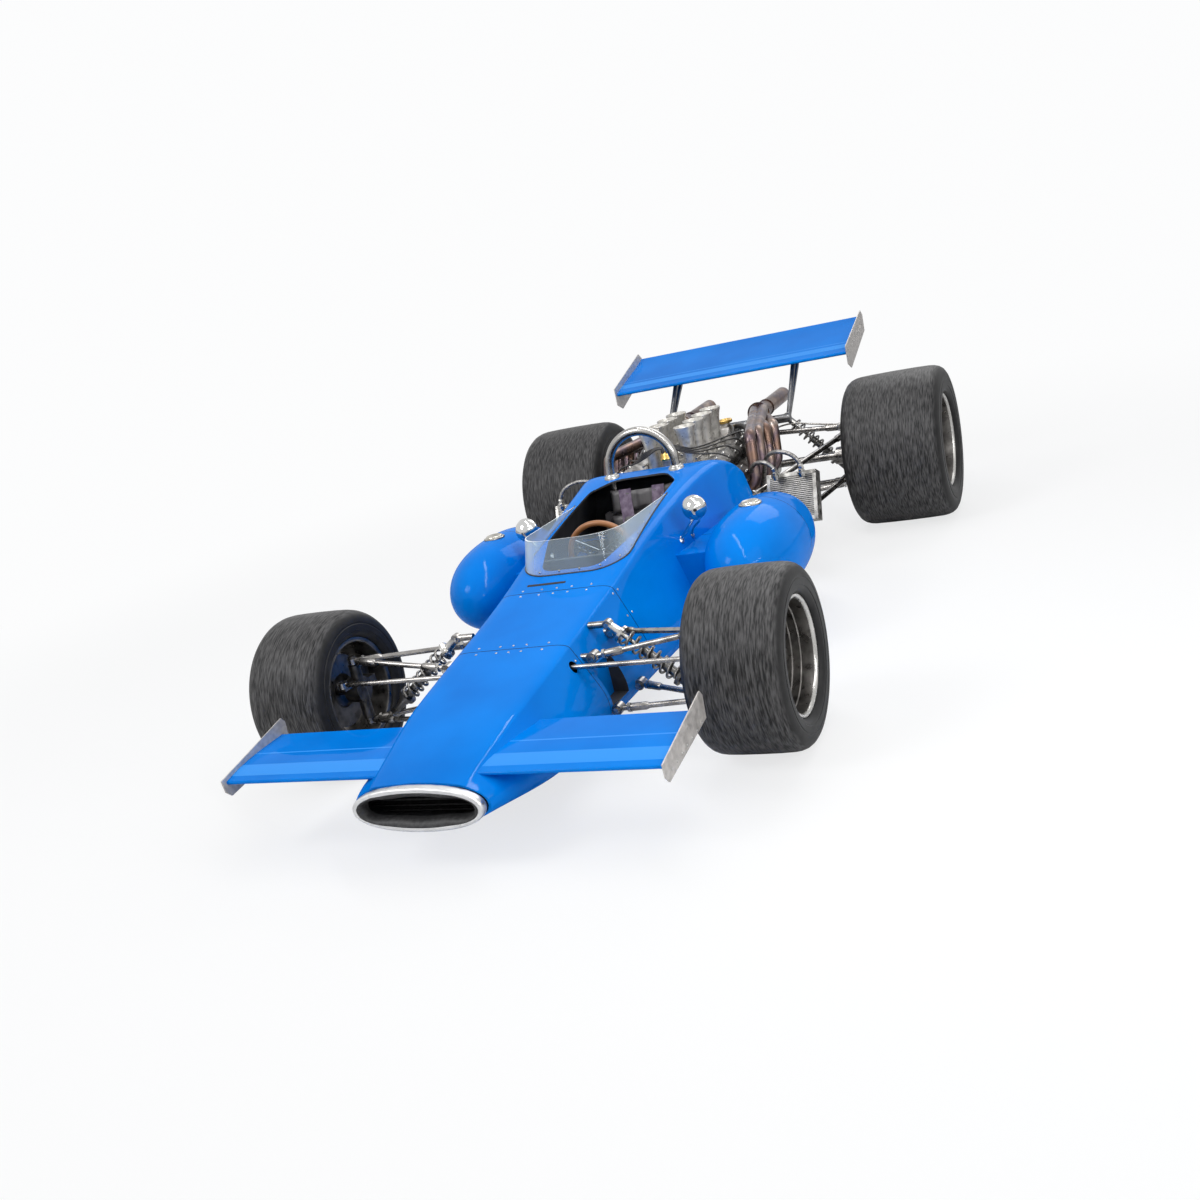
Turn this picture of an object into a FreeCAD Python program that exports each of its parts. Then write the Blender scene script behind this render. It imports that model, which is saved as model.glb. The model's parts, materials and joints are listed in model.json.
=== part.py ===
import FreeCAD, Part
import Sketcher
import math
import os
import re

os.makedirs("parts", exist_ok=True)

V = FreeCAD.Vector
X = V(1, 0, 0)
Y = V(0, 1, 0)
Z = V(0, 0, 1)

# Sizes in millimetres. The car stands on z = 0 with its nose towards -Y and +X on the driver's left.
# Names that end in share or shares are shares of another size.
SIZES = {
    # layout of the whole car
    "front_overhang": 760,
    "rear_overhang": 560,
    "track_front": 1560,
    "track_rear": 1600,
    "ground_clearance": 98,
    "overrun": 20,
    "running_gap": 0.3,
    "moving_gap": 6,
    "bearing_gap": 0.6,
    # tyres and rims
    "tyre_radius_front": 280,
    "tyre_width_front": 300,
    "rim_radius_front": 172,
    "rim_width_front": 262,
    "web_offset_front": 22,
    "tyre_radius_rear": 335,
    "tyre_width_rear": 430,
    "rim_radius_rear": 196,
    "rim_width_rear": 388,
    "web_offset_rear": -20,
    "tyre_shoulder": 40,
    "tyre_shoulder_round": 26,
    "sidewall_rise": 46,
    "flange_width": 12,
    "flange_height": 9,
    "rim_wall": 7,
    "web_thickness": 14,
    "web_window_radius": 26,
    "hub_radius": 46,
    "hub_nut_radius": 27,
    "hub_nut_length": 34,
    # front uprights and steering
    "kingpin_inset": 130,
    "ball_height_upper": 105,
    "ball_height_lower": 115,
    "eye_radius": 17,
    "eye_height": 20,
    "kingpin_radius": 8,
    "kingpin_nut_radius": 13,
    "kingpin_nut_height": 7,
    "upright_column_radius": 20,
    "hub_housing_radius": 44,
    "hub_housing_length": 40,
    "spindle_radius": 17,
    "steering_arm_length": 90,
    "steering_arm_width": 26,
    "steering_arm_thickness": 10,
    "steering_pin_radius": 5,
    "track_rod_eye_radius": 19,
    "track_rod_eye_bore": 11,
    "track_rod_radius": 8,
    "rack_radius": 13,
    "rack_length": 420,
    "pinion_box_half_width": 45,
    "pinion_box_half_height": 32,
    "column_socket": 12,
    "disc_radius_front": 128,
    "disc_thickness": 12,
    "disc_standoff": 74,
    "caliper_length": 84,
    "caliper_depth": 50,
    "caliper_thickness": 48,
    "steering_wheel_radius": 140,
    "steering_wheel_grip": 11,
    "steering_wheel_place": 770,
    "steering_wheel_height": 440,
    "column_radius": 10,
    "column_foot_rise": 15.5,
    # body shell
    "hull_length": 2300,
    "hull_half_width": 390,
    "hull_top": 610,
    "skin": 7,
    "nose_ring_depth": 34,
    "nose_ring_lip": 26,
    "nose_ring_proud": 3,
    "nose_panel_end": 715,
    "scuttle_panel_end": 1095,
    "waist_height": 330,
    "tub_wall": 62,
    "tub_floor": 24,
    "front_bulkhead": 30,
    "seat_bulkhead_setback": 250,
    "seat_bulkhead": 40,
    "rear_bulkhead": 26,
    "cockpit_start": 1240,
    "cockpit_setback": 265,
    "cockpit_half_width": 182,
    "suspension_bay_start": 20,
    "suspension_bay_length": 130,
    "suspension_bay_depth": 50,
    "suspension_bay_floor": 165,
    "suspension_bay_top": 300,
    "slat_place": 100,
    "slat_thickness": 6,
    "slat_pitch": 21,
    "radiator_place": 130,
    "radiator_depth": 46,
    # windscreen
    "screen_place": 1170,
    "screen_half_width": 226,
    "screen_length": 620,
    "screen_round": 120,
    "screen_rise": 128,
    "screen_lean": 70,
    "screen_draw": 36,
    "screen_thickness": 4,
    # cockpit
    "seat_half_width": 178,
    "seat_base_length": 330,
    "seat_base_height": 70,
    "seat_back_height": 360,
    "seat_back_thickness": 60,
    "belt_width": 62,
    "belt_thickness": 4,
    "belt_offset": 72,
    "dash_place": 1330,
    "dash_thickness": 12,
    "dash_drop": 24,
    "dash_bottom": 394,
    "gauge_radius": 28,
    "gauge_depth": 14,
    # hoop and mirrors
    "hoop_setback": 232,
    "hoop_half_width": 140,
    "hoop_height": 800,
    "hoop_tube_radius": 18,
    "mirror_radius": 46,
    "mirror_depth": 52,
    "mirror_reach": 345,
    "mirror_setback": 655,
    "mirror_height": 548,
    "mirror_stalk_radius": 6,
    # side tanks
    "tank_length": 760,
    "tank_radius": 176,
    "tank_setback": 165,
    "tank_reach": 532,
    "tank_height": 345,
    "tank_root_length": 430,
    "tank_root_height": 120,
    "filler_place_share": 0.43,
    "filler_radius": 42,
    "filler_height": 16,
    # wings
    "front_wing_half_span": 720,
    "front_wing_chord": 300,
    "front_wing_place": 90,
    "front_wing_height": 262,
    "front_wing_thickness": 30,
    "front_wing_rise": 22,
    "front_plate_thickness": 4,
    "rear_wing_half_span": 580,
    "rear_wing_chord": 420,
    "rear_wing_height": 770,
    "rear_wing_thickness": 36,
    "rear_wing_rise": 104,
    "rear_plate_thickness": 4,
    "strut_radius": 11,
    "strut_reach": 300,
    # engine and gearbox
    "engine_length": 560,
    "final_drive_place": 320,
    "crank_height": 272,
    "sump_depth": 152,
    "block_half_width": 160,
    "deck_distance": 210,
    "diagonal_share": 0.7071,
    "deck_width": 150,
    "head_height": 118,
    "head_length": 520,
    "cam_cover_height": 34,
    "cam_cover_width": 58,
    "manifold_height": 530,
    "trumpet_radius": 46,
    "trumpet_throat": 27,
    "trumpet_height": 185,
    "trumpet_pitch": 118,
    "trumpet_reach": 80,
    "trumpet_wall": 3,
    "exhaust_radius": 24,
    "exhaust_bend": 52,
    "tailpipe_radius": 36,
    "tailpipe_reach": 190,
    "tailpipe_wall": 4,
    "gearbox_tail_reach": 300,
    "gearbox_half_width": 118,
    "gearbox_bottom": 175,
    "gearbox_top": 430,
    "gearbox_tail_share": 0.62,
    "final_drive_radius": 105,
    "final_drive_reach": 142,
    # rear suspension and drive
    "rear_upright_inner": 222,
    "rear_upright_thickness": 62,
    "rear_upright_height": 282,
    "rear_upright_width": 92,
    "bearing_radius": 62,
    "bearing_bore": 24,
    "driveshaft_radius": 17,
    "joint_boot_radius": 40,
    "joint_boot_length": 74,
    "disc_radius_rear": 114,
    "link_radius": 12,
    "link_end_radius": 18,
    "damper_radius": 15,
    "spring_radius": 31,
    "spring_wire_radius": 5,
    "spring_turns": 6,
    "crossbeam_height": 545,
    "crossbeam_half_length": 310,
    "crossbeam_radius": 20,
    "cooler_width": 200,
    "cooler_depth": 58,
    "cooler_height": 196,
    "cooler_reach": 492,
    "cooler_place": 95,
    "cooler_centre_height": 352,
    "cooler_lean": 24,
}

doc = FreeCAD.newDocument("OpenWheelRacingCar")
sheet = doc.addObject("Spreadsheet::Sheet", "Sizes")
for row, (name, value) in enumerate(SIZES.items(), start=1):
    sheet.set(f"A{row}", name)
    sheet.set(f"B{row}", str(value))
    sheet.setAlias(f"B{row}", name)
doc.recompute()


class Sizes:
    """The sheet's values, read back as plain numbers."""

    def __init__(self):
        for alias in SIZES:
            setattr(self, alias, float(sheet.get(alias)))


size = Sizes()

# Places along the car that follow from the layout.
wheelbase = size.hull_length + size.engine_length + size.final_drive_place - size.front_overhang
nose_y = -(size.front_overhang + wheelbase + size.rear_overhang) / 2
front_axle_y = nose_y + size.front_overhang
rear_axle_y = front_axle_y + wheelbase
tail_y = rear_axle_y + size.rear_overhang
tub_end_y = nose_y + size.hull_length

nodes = {}


def keep(label, piece):
    """Give a finished piece the label that names its node and its file."""
    piece.Label = label
    nodes[label] = piece
    return piece


def bound(text):
    """Write a size's name as a reference to its cell in the sheet."""
    return re.sub(r"[a-z][a-z_]*", lambda found: f"{sheet.Name}.{found.group()}", text)


def feature(name, shape):
    """A piece whose form only Part's own functions give, with its faces turned outwards."""
    if shape.Volume < 0:
        shape.reverse()
    piece = doc.addObject("Part::Feature", name)
    piece.Shape = shape
    return piece


def outline(owner, role, name, corners):
    """A closed outline of straight lines with every corner bound to the sheet."""
    sketch = owner.newObject("Sketcher::SketchObject", name)
    plane = [item for item in owner.Origin.OriginFeatures if item.Role == role][0]
    sketch.AttachmentSupport = [(plane, "")]
    sketch.MapMode = "FlatFace"
    count = len(corners)
    ring = []
    for number in range(count):
        angle = 2 * math.pi * number / count
        ring.append(V(math.cos(angle), math.sin(angle), 0))
    for number in range(count):
        sketch.addGeometry(Part.LineSegment(ring[number], ring[(number + 1) % count]), False)
    for number in range(count):
        sketch.addConstraint(Sketcher.Constraint("Coincident", number, 2, (number + 1) % count, 1))
    for number, (across, up) in enumerate(corners):
        for kind, axis, text in (("DistanceX", -2, across), ("DistanceY", -1, up)):
            if text == "0":
                sketch.addConstraint(Sketcher.Constraint("PointOnObject", number, 1, axis))
                continue
            place = sketch.addConstraint(Sketcher.Constraint(kind, -1, 1, number, 1, 1))
            sketch.setExpression(f"Constraints[{place}]", bound(text))
    return sketch


def turned(owner, name, sketch, axis="H_Axis", kind="PartDesign::Revolution"):
    """A full turn of an outline about one of its own axes."""
    turn = owner.newObject(kind, name)
    turn.Profile = sketch
    turn.ReferenceAxis = (sketch, [axis])
    turn.Angle = 360
    return turn


def padded(owner, name, sketch, length, middle=False):
    """An outline pushed out by a bound length, to one side or to both."""
    pad = owner.newObject("PartDesign::Pad", name)
    pad.Profile = sketch
    pad.Midplane = middle
    pad.setExpression("Length", bound(length))
    return pad


def rounded(owner, name, base, radius, choose):
    """A fillet on the edges of a feature that the choose function picks."""
    doc.recompute()
    edges = [f"Edge{number}" for number, edge in enumerate(base.Shape.Edges, start=1) if choose(edge)]
    fillet = owner.newObject("PartDesign::Fillet", name)
    fillet.Base = (base, edges)
    fillet.setExpression("Radius", bound(radius))
    return fillet


def rod(name, start, end, radius):
    """A round bar between two points with its radius bound to the sheet."""
    piece = doc.addObject("Part::Cylinder", name)
    piece.setExpression("Radius", bound(radius))
    piece.Height = (end - start).Length
    piece.Placement = FreeCAD.Placement(start, FreeCAD.Rotation(Z, end - start))
    return piece


def eye(name, centre, half, radius, axis=Z):
    """The short round housing of a joint, half its length either way from its centre."""
    return rod(name, centre - axis * half, centre + axis * half, radius)


def block(name, corner, extent):
    """A square block from its lowest corner."""
    piece = doc.addObject("Part::Box", name)
    piece.Length, piece.Width, piece.Height = extent
    piece.Placement.Base = corner
    return piece


def joined(name, pieces):
    """Pieces fused into one."""
    fuse = doc.addObject("Part::MultiFuse", name)
    fuse.Shapes = pieces
    return fuse


def without(name, base, tool):
    """One piece cut by another."""
    cut = doc.addObject("Part::Cut", name)
    cut.Base = base
    cut.Tool = tool
    return cut


def within(name, first, second):
    """What two pieces have in common."""
    common = doc.addObject("Part::Common", name)
    common.Base = first
    common.Tool = second
    return common


def mirrored(name, half):
    """The same piece on the other side of the centre line."""
    mirror = doc.addObject("Part::Mirroring", name)
    mirror.Source = half
    mirror.Normal = X
    return mirror


def pair(label, half):
    """A node of two like pieces, one on each side of the centre line."""
    both = doc.addObject("Part::Compound", label)
    both.Links = [half, mirrored(label + "_right_hand", half)]
    return keep(label, both)


def link(name, start, end, radius="link_radius", tip="link_end_radius"):
    """A suspension link: a tube with a round joint housing at each end."""
    half = size.link_end_radius * 0.8
    return joined(name, [rod(name + "_tube", start, end, radius),
                         eye(name + "_inner_joint", start, half, tip),
                         eye(name + "_outer_joint", end, half, tip)])


# Body shell

# Each station: place along the hull, half width, deck half width (shares of the hull's length and
# half width), then widest height, underside and deck height as shares of the hull's depth.
HULL_STATION_SHARES = (
    (0.000, 0.526, 0.379, 0.199, 0.082, 0.320),
    (0.070, 0.662, 0.456, 0.205, 0.047, 0.395),
    (0.157, 0.718, 0.487, 0.211, 0.016, 0.469),
    (0.243, 0.744, 0.503, 0.215, 0.004, 0.531),
    (0.330, 0.756, 0.513, 0.219, 0.000, 0.590),
    (0.474, 0.782, 0.538, 0.229, 0.000, 0.697),
    (0.635, 0.826, 0.585, 0.248, 0.000, 0.844),
    (0.765, 0.877, 0.628, 0.268, 0.000, 0.938),
    (0.887, 0.959, 0.705, 0.297, 0.000, 1.000),
    (1.000, 0.987, 0.833, 0.336, 0.000, 0.834),
)

# Poles of half a section, from the deck's middle round to the floor: across as a share of the way from
# the deck's edge to the widest point (or of the whole half width where the third value says so).
FLANK_POLE_SHARES = ((0.15, 0.15), (0.62, 0.60), (1.00, 1.00))
# The same at the mouth of the nose, where the section is nearly an ellipse; it blends into the rest.
NOSE_FLANK_SHARES = ((0.50, 0.05), (0.93, 0.36), (1.00, 1.00))
NOSE_BLEND_SHARE = 0.12
DECK_INNER_SHARE = 0.5
BILGE_SHARES = ((1.00, 0.62), (0.86, 1.00), (0.40, 1.00))
DEGREE = 2

hull_depth = size.hull_top - size.ground_clearance


def hull_station(share):
    """Half width, deck half width, widest height, underside and deck height at a share of the length."""
    for before, after in zip(HULL_STATION_SHARES, HULL_STATION_SHARES[1:]):
        if share <= after[0]:
            break
    part = (share - before[0]) / (after[0] - before[0])
    half, deck, widest, under, top = (a + (b - a) * part for a, b in zip(before[1:], after[1:]))
    return (half * size.hull_half_width, deck * size.hull_half_width,
            size.ground_clearance + widest * hull_depth,
            size.ground_clearance + under * hull_depth,
            size.ground_clearance + top * hull_depth)


def hull_section(share, grow, place=None, floor=None, lid=None):
    """A closed smooth section of the hull, moved outwards by grow, or by floor and lid below and above."""
    half, deck, widest, under, top = hull_station(share)
    half, deck = half + grow, deck + grow / 2
    under -= grow if floor is None else floor
    top += grow if lid is None else lid
    right = [(DECK_INNER_SHARE * deck, top), (deck, top)]
    blend = max(0, 1 - share / NOSE_BLEND_SHARE)
    for body_pole, nose_pole in zip(FLANK_POLE_SHARES, NOSE_FLANK_SHARES):
        across, down = (a + (b - a) * blend for a, b in zip(body_pole, nose_pole))
        right.append((deck + across * (half - deck), top - down * (top - widest)))
    for across, down in BILGE_SHARES:
        right.append((across * half, widest - down * (widest - under)))
    along = nose_y + share * size.hull_length if place is None else place
    halves = []
    for side in (1, -1):
        poles = [V(0, along, top)] + [V(side * x, along, z) for x, z in right] + [V(0, along, under)]
        if side < 0:
            poles.reverse()
        inner = len(poles) - DEGREE
        curve = Part.BSplineCurve()
        ends = [DEGREE + 1] + [1] * (inner - 1) + [DEGREE + 1]
        curve.buildFromPolesMultsKnots(poles, ends, list(range(inner + 1)), False, DEGREE)
        halves.append(curve.toShape())
    return Part.Wire(halves)


def hull_solid(name, grow, floor=None, lid=None):
    """The whole hull as a solid, for the skin, its inside and what is cut to seat on it."""
    sections = [hull_section(row[0], grow, None, floor, lid) for row in HULL_STATION_SHARES]
    return feature(name, Part.makeLoft(sections, True, False))


def slab(name, start, end, low=None, high=None):
    """A block right across the car between two places along it, open in height unless given."""
    reach = size.hull_half_width + size.overrun
    low = -size.overrun if low is None else low
    high = size.hull_top + size.overrun if high is None else high
    return block(name, V(-reach, start, low), (2 * reach, end - start, high - low))


hull_outside = hull_solid("hull_outside", 0)
hull_inside = hull_solid("hull_inside", -size.skin)
hull_filling = hull_solid("hull_filling", -size.skin - size.running_gap)
tub_inside = hull_solid("tub_inside", -size.tub_wall, -size.tub_floor, -size.skin)

nose_skin_y = nose_y + size.nose_ring_depth
nose_end_y = nose_y + size.nose_panel_end
scuttle_end_y = nose_y + size.scuttle_panel_end
hull_skin = without("hull_skin", hull_outside, hull_inside)


def make_nose():
    """The nose cone, its polished ring, and the radiator with its slats in the duct."""
    cone = within("nose_cone_skin", hull_skin, slab("nose_span", nose_skin_y, nose_end_y))
    rack_y = front_axle_y - size.steering_arm_length
    reach = size.hull_half_width + size.overrun
    rack_slot = rod("rack_slot", V(-reach, rack_y, rack_height), V(reach, rack_y, rack_height),
                    "rack_radius + moving_gap")
    keep("nose_cone", without("nose_cone", cone, rack_slot))

    lip = size.nose_ring_lip
    depth = size.nose_ring_depth
    proud = size.nose_ring_proud
    outer = [hull_section(0, -lip * 0.35, nose_y), hull_section(0, -lip * 0.06, nose_y + depth * 0.15),
             hull_section(0, proud, nose_y + depth * 0.45), hull_section(0, proud, nose_y + depth)]
    inner = [hull_section(0, -lip * 0.35, nose_y), hull_section(0, -lip * 0.78, nose_y + depth * 0.25),
             hull_section(0, -lip, nose_y + depth * 0.7),
             hull_section(0, -lip, nose_y + depth + size.overrun)]
    ring = Part.makeLoft(outer, True, False).cut(Part.makeLoft(inner, True, False))
    keep("nose_ring", feature("nose_ring", ring))

    core_y = nose_y + size.radiator_place
    core = slab("radiator_span", core_y, core_y + size.radiator_depth)
    slats = []
    for number in range(int((size.waist_height - size.ground_clearance) // size.slat_pitch) + 1):
        low = size.ground_clearance + number * size.slat_pitch
        slats.append(slab(f"slat_{number + 1}", nose_y + size.slat_place, core_y, low,
                          low + size.slat_thickness))
    keep("radiator", within("radiator", hull_filling, joined("radiator_form", [core] + slats)))


rack_height = size.tyre_radius_front + size.ball_height_upper / 2

# The steering column runs from the wheel's centre down into its socket in the pinion box.
column_head = V(0, nose_y + size.steering_wheel_place + size.front_overhang, size.steering_wheel_height)
column_foot = V(0, nose_end_y - size.column_socket, rack_height + size.column_foot_rise)


def make_tub():
    """The monocoque: thick walls, a floor, bulkheads and a bay for the front suspension in each side."""
    lower = within("tub_lower", hull_outside,
                   slab("tub_span", nose_end_y, tub_end_y, high=size.waist_height))
    cavity = within("cockpit_room", tub_inside,
                    slab("cockpit_span", nose_end_y + size.front_bulkhead,
                         tub_end_y - size.seat_bulkhead_setback,
                         high=size.waist_height + size.overrun))
    hollow = without("tub_hollow", lower, cavity)
    bay_side = size.hull_half_width + size.overrun
    bay_y = nose_end_y + size.suspension_bay_start
    bay_half = hull_station((bay_y - nose_y) / size.hull_length)[0]
    bay_x = bay_half - size.suspension_bay_depth
    bay = block("suspension_bay", V(bay_x, bay_y, size.suspension_bay_floor),
                (bay_side - bay_x, size.suspension_bay_length,
                 size.suspension_bay_top - size.suspension_bay_floor))
    bays = joined("suspension_bays", [bay, mirrored("suspension_bay_right_hand", bay)])
    open_tub = without("tub_with_bays", hollow, bays)
    rear_plate = within("rear_plate", hull_filling,
                        slab("rear_plate_span", tub_end_y - size.rear_bulkhead, tub_end_y,
                                                        low=size.waist_height - size.overrun))
    seat_y = tub_end_y - size.seat_bulkhead_setback
    seat_plate = within("seat_plate", hull_filling,
                        slab("seat_plate_span", seat_y, seat_y + size.seat_bulkhead,
                                                        low=size.waist_height - size.overrun,
                                                        high=size.waist_height + size.seat_bulkhead))
    rack_y = front_axle_y - size.steering_arm_length
    box_half = size.pinion_box_half_width
    front = rack_y - size.rack_radius - size.column_socket
    box = block("pinion_box",
                V(-box_half, front, column_foot.z - size.pinion_box_half_height - size.column_socket),
                (2 * box_half, nose_end_y - front, 2 * size.pinion_box_half_height + size.column_socket))
    rack_bore = rod("rack_bore", V(-2 * box_half, rack_y, rack_height), V(2 * box_half, rack_y, rack_height),
                    "rack_radius + bearing_gap")
    column_bore = rod("column_bore", column_foot, column_head, "column_radius + bearing_gap")
    seated_box = within("pinion_box_seated", hull_filling, box)
    bored_box = without("pinion_box_bored", seated_box, joined("pinion_box_bores", [rack_bore, column_bore]))
    keep("tub", joined("tub", [open_tub, rear_plate, seat_plate, bored_box]))


def make_cowls():
    """The scuttle panel over the pedals and the cockpit cowl with its opening and the hoop's holes."""
    scuttle = within("scuttle_panel", hull_skin,
                     slab("scuttle_span", nose_end_y, scuttle_end_y, low=size.waist_height))
    keep("scuttle_panel", scuttle)
    cowl = within("cowl_skin", hull_skin, slab("cowl_span", scuttle_end_y, tub_end_y, low=size.waist_height))
    start = nose_y + size.cockpit_start
    top = size.hull_top + size.overrun
    body = doc.addObject("PartDesign::Body", "cockpit_opening")
    run = "(hull_length - cockpit_setback - cockpit_start)"
    corners = [("cockpit_half_width * 0.62", "0"), ("cockpit_half_width", f"{run} * 0.3"),
               ("cockpit_half_width", f"{run} * 0.86"), ("cockpit_half_width * 0.6", run)]
    corners += [(f"-{across}", along) for across, along in reversed(corners)]
    sketch = outline(body, "XY_Plane", "cockpit_opening_outline", corners)
    pad = padded(body, "cockpit_opening_block", sketch, "hull_top + overrun - waist_height")
    rounded(body, "cockpit_opening_round", pad, "cockpit_half_width * 0.34",
            lambda edge: len(edge.Vertexes) == 2 and abs(edge.tangentAt(edge.FirstParameter).z) > 0.9)
    body.Placement.Base = V(0, start, size.waist_height)
    hoop_y = tub_end_y - size.hoop_setback
    low = size.waist_height
    holes = [rod(f"hoop_hole_{side}", V(side * size.hoop_half_width, hoop_y, low),
                 V(side * size.hoop_half_width, hoop_y, top),
                 "hoop_tube_radius + running_gap") for side in (1, -1)]
    openings = joined("cowl_openings", [body] + holes)
    keep("cockpit_cowl", without("cockpit_cowl", cowl, openings))


def make_windscreen():
    """The clear screen that wraps round the front of the cockpit and leans back."""
    def plan(grow, height):
        rise = (height - size.waist_height) / (size.hull_top - size.waist_height)
        draw = size.screen_draw * rise
        half = size.screen_half_width - draw + grow
        front = nose_y + size.screen_place + size.screen_lean * rise - grow
        back = nose_y + size.screen_place + size.screen_length
        if grow < 0:
            back += size.overrun
        turn = size.screen_round
        straight = [V(half, back, height), V(half, front + turn, height), V(half - turn, front, height),
                    V(-half + turn, front, height), V(-half, front + turn, height), V(-half, back, height)]
        slant = turn * (1 - math.sqrt(0.5))
        right_mid = V(half - slant, front + slant, height)
        left_mid = V(-half + slant, front + slant, height)
        edges = [Part.LineSegment(straight[0], straight[1]).toShape(),
                 Part.Arc(straight[1], right_mid, straight[2]).toShape(),
                 Part.LineSegment(straight[2], straight[3]).toShape(),
                 Part.Arc(straight[3], left_mid, straight[4]).toShape(),
                 Part.LineSegment(straight[4], straight[5]).toShape(),
                 Part.LineSegment(straight[5], straight[0]).toShape()]
        return Part.Wire(edges)
    low = size.waist_height
    high = size.hull_top + size.overrun
    outside = Part.makeLoft([plan(0, low), plan(0, high)], True, True)
    inside = Part.makeLoft([plan(-size.screen_thickness, low), plan(-size.screen_thickness, high)], True,
                           True)
    shell = feature("screen_shell", outside.cut(inside))
    seated = without("screen_seated", shell, hull_outside)
    # The top edge falls from the front of the screen to its rear ends, where it meets the cowl.
    front_deck = hull_station(size.screen_place / size.hull_length)[-1]
    rear_share = (size.screen_place + size.screen_length) / size.hull_length
    rear_deck = hull_station(rear_share)[-1]
    reach = size.hull_half_width
    front = nose_y + size.screen_place - size.overrun
    back = nose_y + size.screen_place + size.screen_length
    corners = [V(-reach, front, size.waist_height), V(-reach, front, front_deck + size.screen_rise),
               V(-reach, back, rear_deck), V(-reach, back, size.waist_height)]
    face = Part.Face(Part.makePolygon(corners + corners[:1]))
    window = feature("screen_window", face.extrude(V(2 * reach, 0, 0)))
    keep("windscreen", within("windscreen", seated, window))


def make_seat():
    """The moulded seat with its two shoulder belts."""
    seat_y = tub_end_y - size.seat_bulkhead_setback - size.running_gap
    floor = size.ground_clearance + size.tub_floor + size.running_gap
    body = doc.addObject("PartDesign::Body", "seat")
    sketch = outline(body, "YZ_Plane", "seat_side",
                     [("0", "0"), ("0", "seat_back_height"),
                      ("-seat_back_thickness * 0.7", "seat_back_height"),
                      ("-seat_back_thickness * 2.1", "seat_base_height"),
                      ("-seat_base_length", "seat_base_height * 1.25"),
                      ("-seat_base_length", "0")])
    padded(body, "seat_form", sketch, "2 * seat_half_width", middle=True)
    body.Placement.Base = V(0, seat_y, floor)
    keep("seat", body)

    belts = doc.addObject("PartDesign::Body", "belt_run")
    fall = "1.4 * (seat_back_height - 1.6 * seat_base_height) / (seat_back_height - seat_base_height)"
    top = "-seat_back_thickness * 0.7 - running_gap"
    low = f"-seat_back_thickness * (0.7 + {fall}) - running_gap"
    sketch = outline(belts, "YZ_Plane", "belt_side",
                     [(top, "seat_back_height"), (f"{top} - belt_thickness", "seat_back_height"),
                      (f"{low} - belt_thickness", "seat_base_height * 1.6"),
                      (low, "seat_base_height * 1.6")])
    padded(belts, "belt_strip", sketch, "belt_width", middle=True)
    belts.Placement.Base = V(size.belt_offset, seat_y, floor)
    pair("harness", belts)


def make_dashboard():
    """The instrument panel under the front of the cowl, with three round gauges."""
    dash_y = nose_y + size.dash_place
    down = (column_head - column_foot).normalize()
    column_z = column_head.z + down.z / down.y * (dash_y - column_head.y)
    deck_z = hull_station(size.dash_place / size.hull_length)[-1] - size.skin
    low_edge = min(size.dash_bottom, column_z - size.dash_drop)
    plate = within("dash_plate", hull_filling,
                   slab("dash_span", dash_y, dash_y + size.dash_thickness, low=low_edge))
    hole = rod("dash_column_hole", column_foot, column_head, "column_radius + moving_gap / 2")
    gauge_z = (column_z + deck_z) / 2
    gauges = []
    for number, across_share, radius_share in ((1, -2.3, 1), (2, 0, 0.6), (3, 2.3, 1)):
        lift = size.gauge_radius * 0.5 * (1 - abs(across_share) / 2.3)
        face = V(across_share * size.gauge_radius, dash_y, gauge_z + lift)
        gauges.append(rod(f"gauge_{number}", face, face + Y * (size.dash_thickness + size.gauge_depth),
                          f"gauge_radius * {radius_share}"))
    keep("dashboard", joined("dashboard", [without("dash_plate_bored", plate, hole)] + gauges))


def make_hoop():
    """The single bent tube of the roll hoop, standing on the seat bulkhead."""
    hoop_y = tub_end_y - size.hoop_setback
    foot = size.waist_height + size.seat_bulkhead
    half = size.hoop_half_width
    crown = size.hoop_height - size.hoop_tube_radius - half
    path = Part.Wire([
        Part.LineSegment(V(-half, hoop_y, foot), V(-half, hoop_y, crown)).toShape(),
        Part.Arc(V(-half, hoop_y, crown), V(0, hoop_y, crown + half), V(half, hoop_y, crown)).toShape(),
        Part.LineSegment(V(half, hoop_y, crown), V(half, hoop_y, foot)).toShape()])
    profile = Part.Wire([Part.makeCircle(size.hoop_tube_radius, V(-half, hoop_y, foot), Z)])
    keep("roll_hoop", feature("roll_hoop", path.makePipeShell([profile], True, False)))


def make_mirrors():
    """Round mirrors with domed backs, each on a short stalk from the cowl."""
    body = doc.addObject("PartDesign::Body", "mirror_head")
    sketch = outline(body, "XZ_Plane", "mirror_profile",
                     [("0", "0"), ("mirror_radius", "0"), ("mirror_radius", "mirror_depth * 0.3"),
                      ("mirror_radius * 0.86", "mirror_depth * 0.62"),
                      ("mirror_radius * 0.5", "mirror_depth * 0.9"),
                      ("mirror_radius * 0.1", "mirror_depth"), ("0", "mirror_depth")])
    turned(body, "mirror_form", sketch, axis="V_Axis")
    head = V(size.mirror_reach, tub_end_y - size.mirror_setback, size.mirror_height)
    body.Placement = FreeCAD.Placement(head, FreeCAD.Rotation(Z, -Y))
    foot = V(size.cockpit_half_width + size.mirror_radius / 2, head.y, size.waist_height + size.skin)
    stalk = without("mirror_stalk_seated",
                    rod("mirror_stalk", foot, head - Y * size.mirror_depth / 2, "mirror_stalk_radius"),
                    hull_outside)
    pair("mirrors", joined("mirror", [body, stalk]))


# The side tank's outline: place along it and radius, as shares of its length and its greatest radius.
TANK_PROFILE_SHARES = ((0.0, 0.08), (0.02, 0.34), (0.08, 0.60), (0.20, 0.86), (0.36, 0.985), (0.50, 1.0),
                       (0.66, 0.94), (0.82, 0.75), (0.93, 0.47), (0.985, 0.22), (1.0, 0.07))


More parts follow.
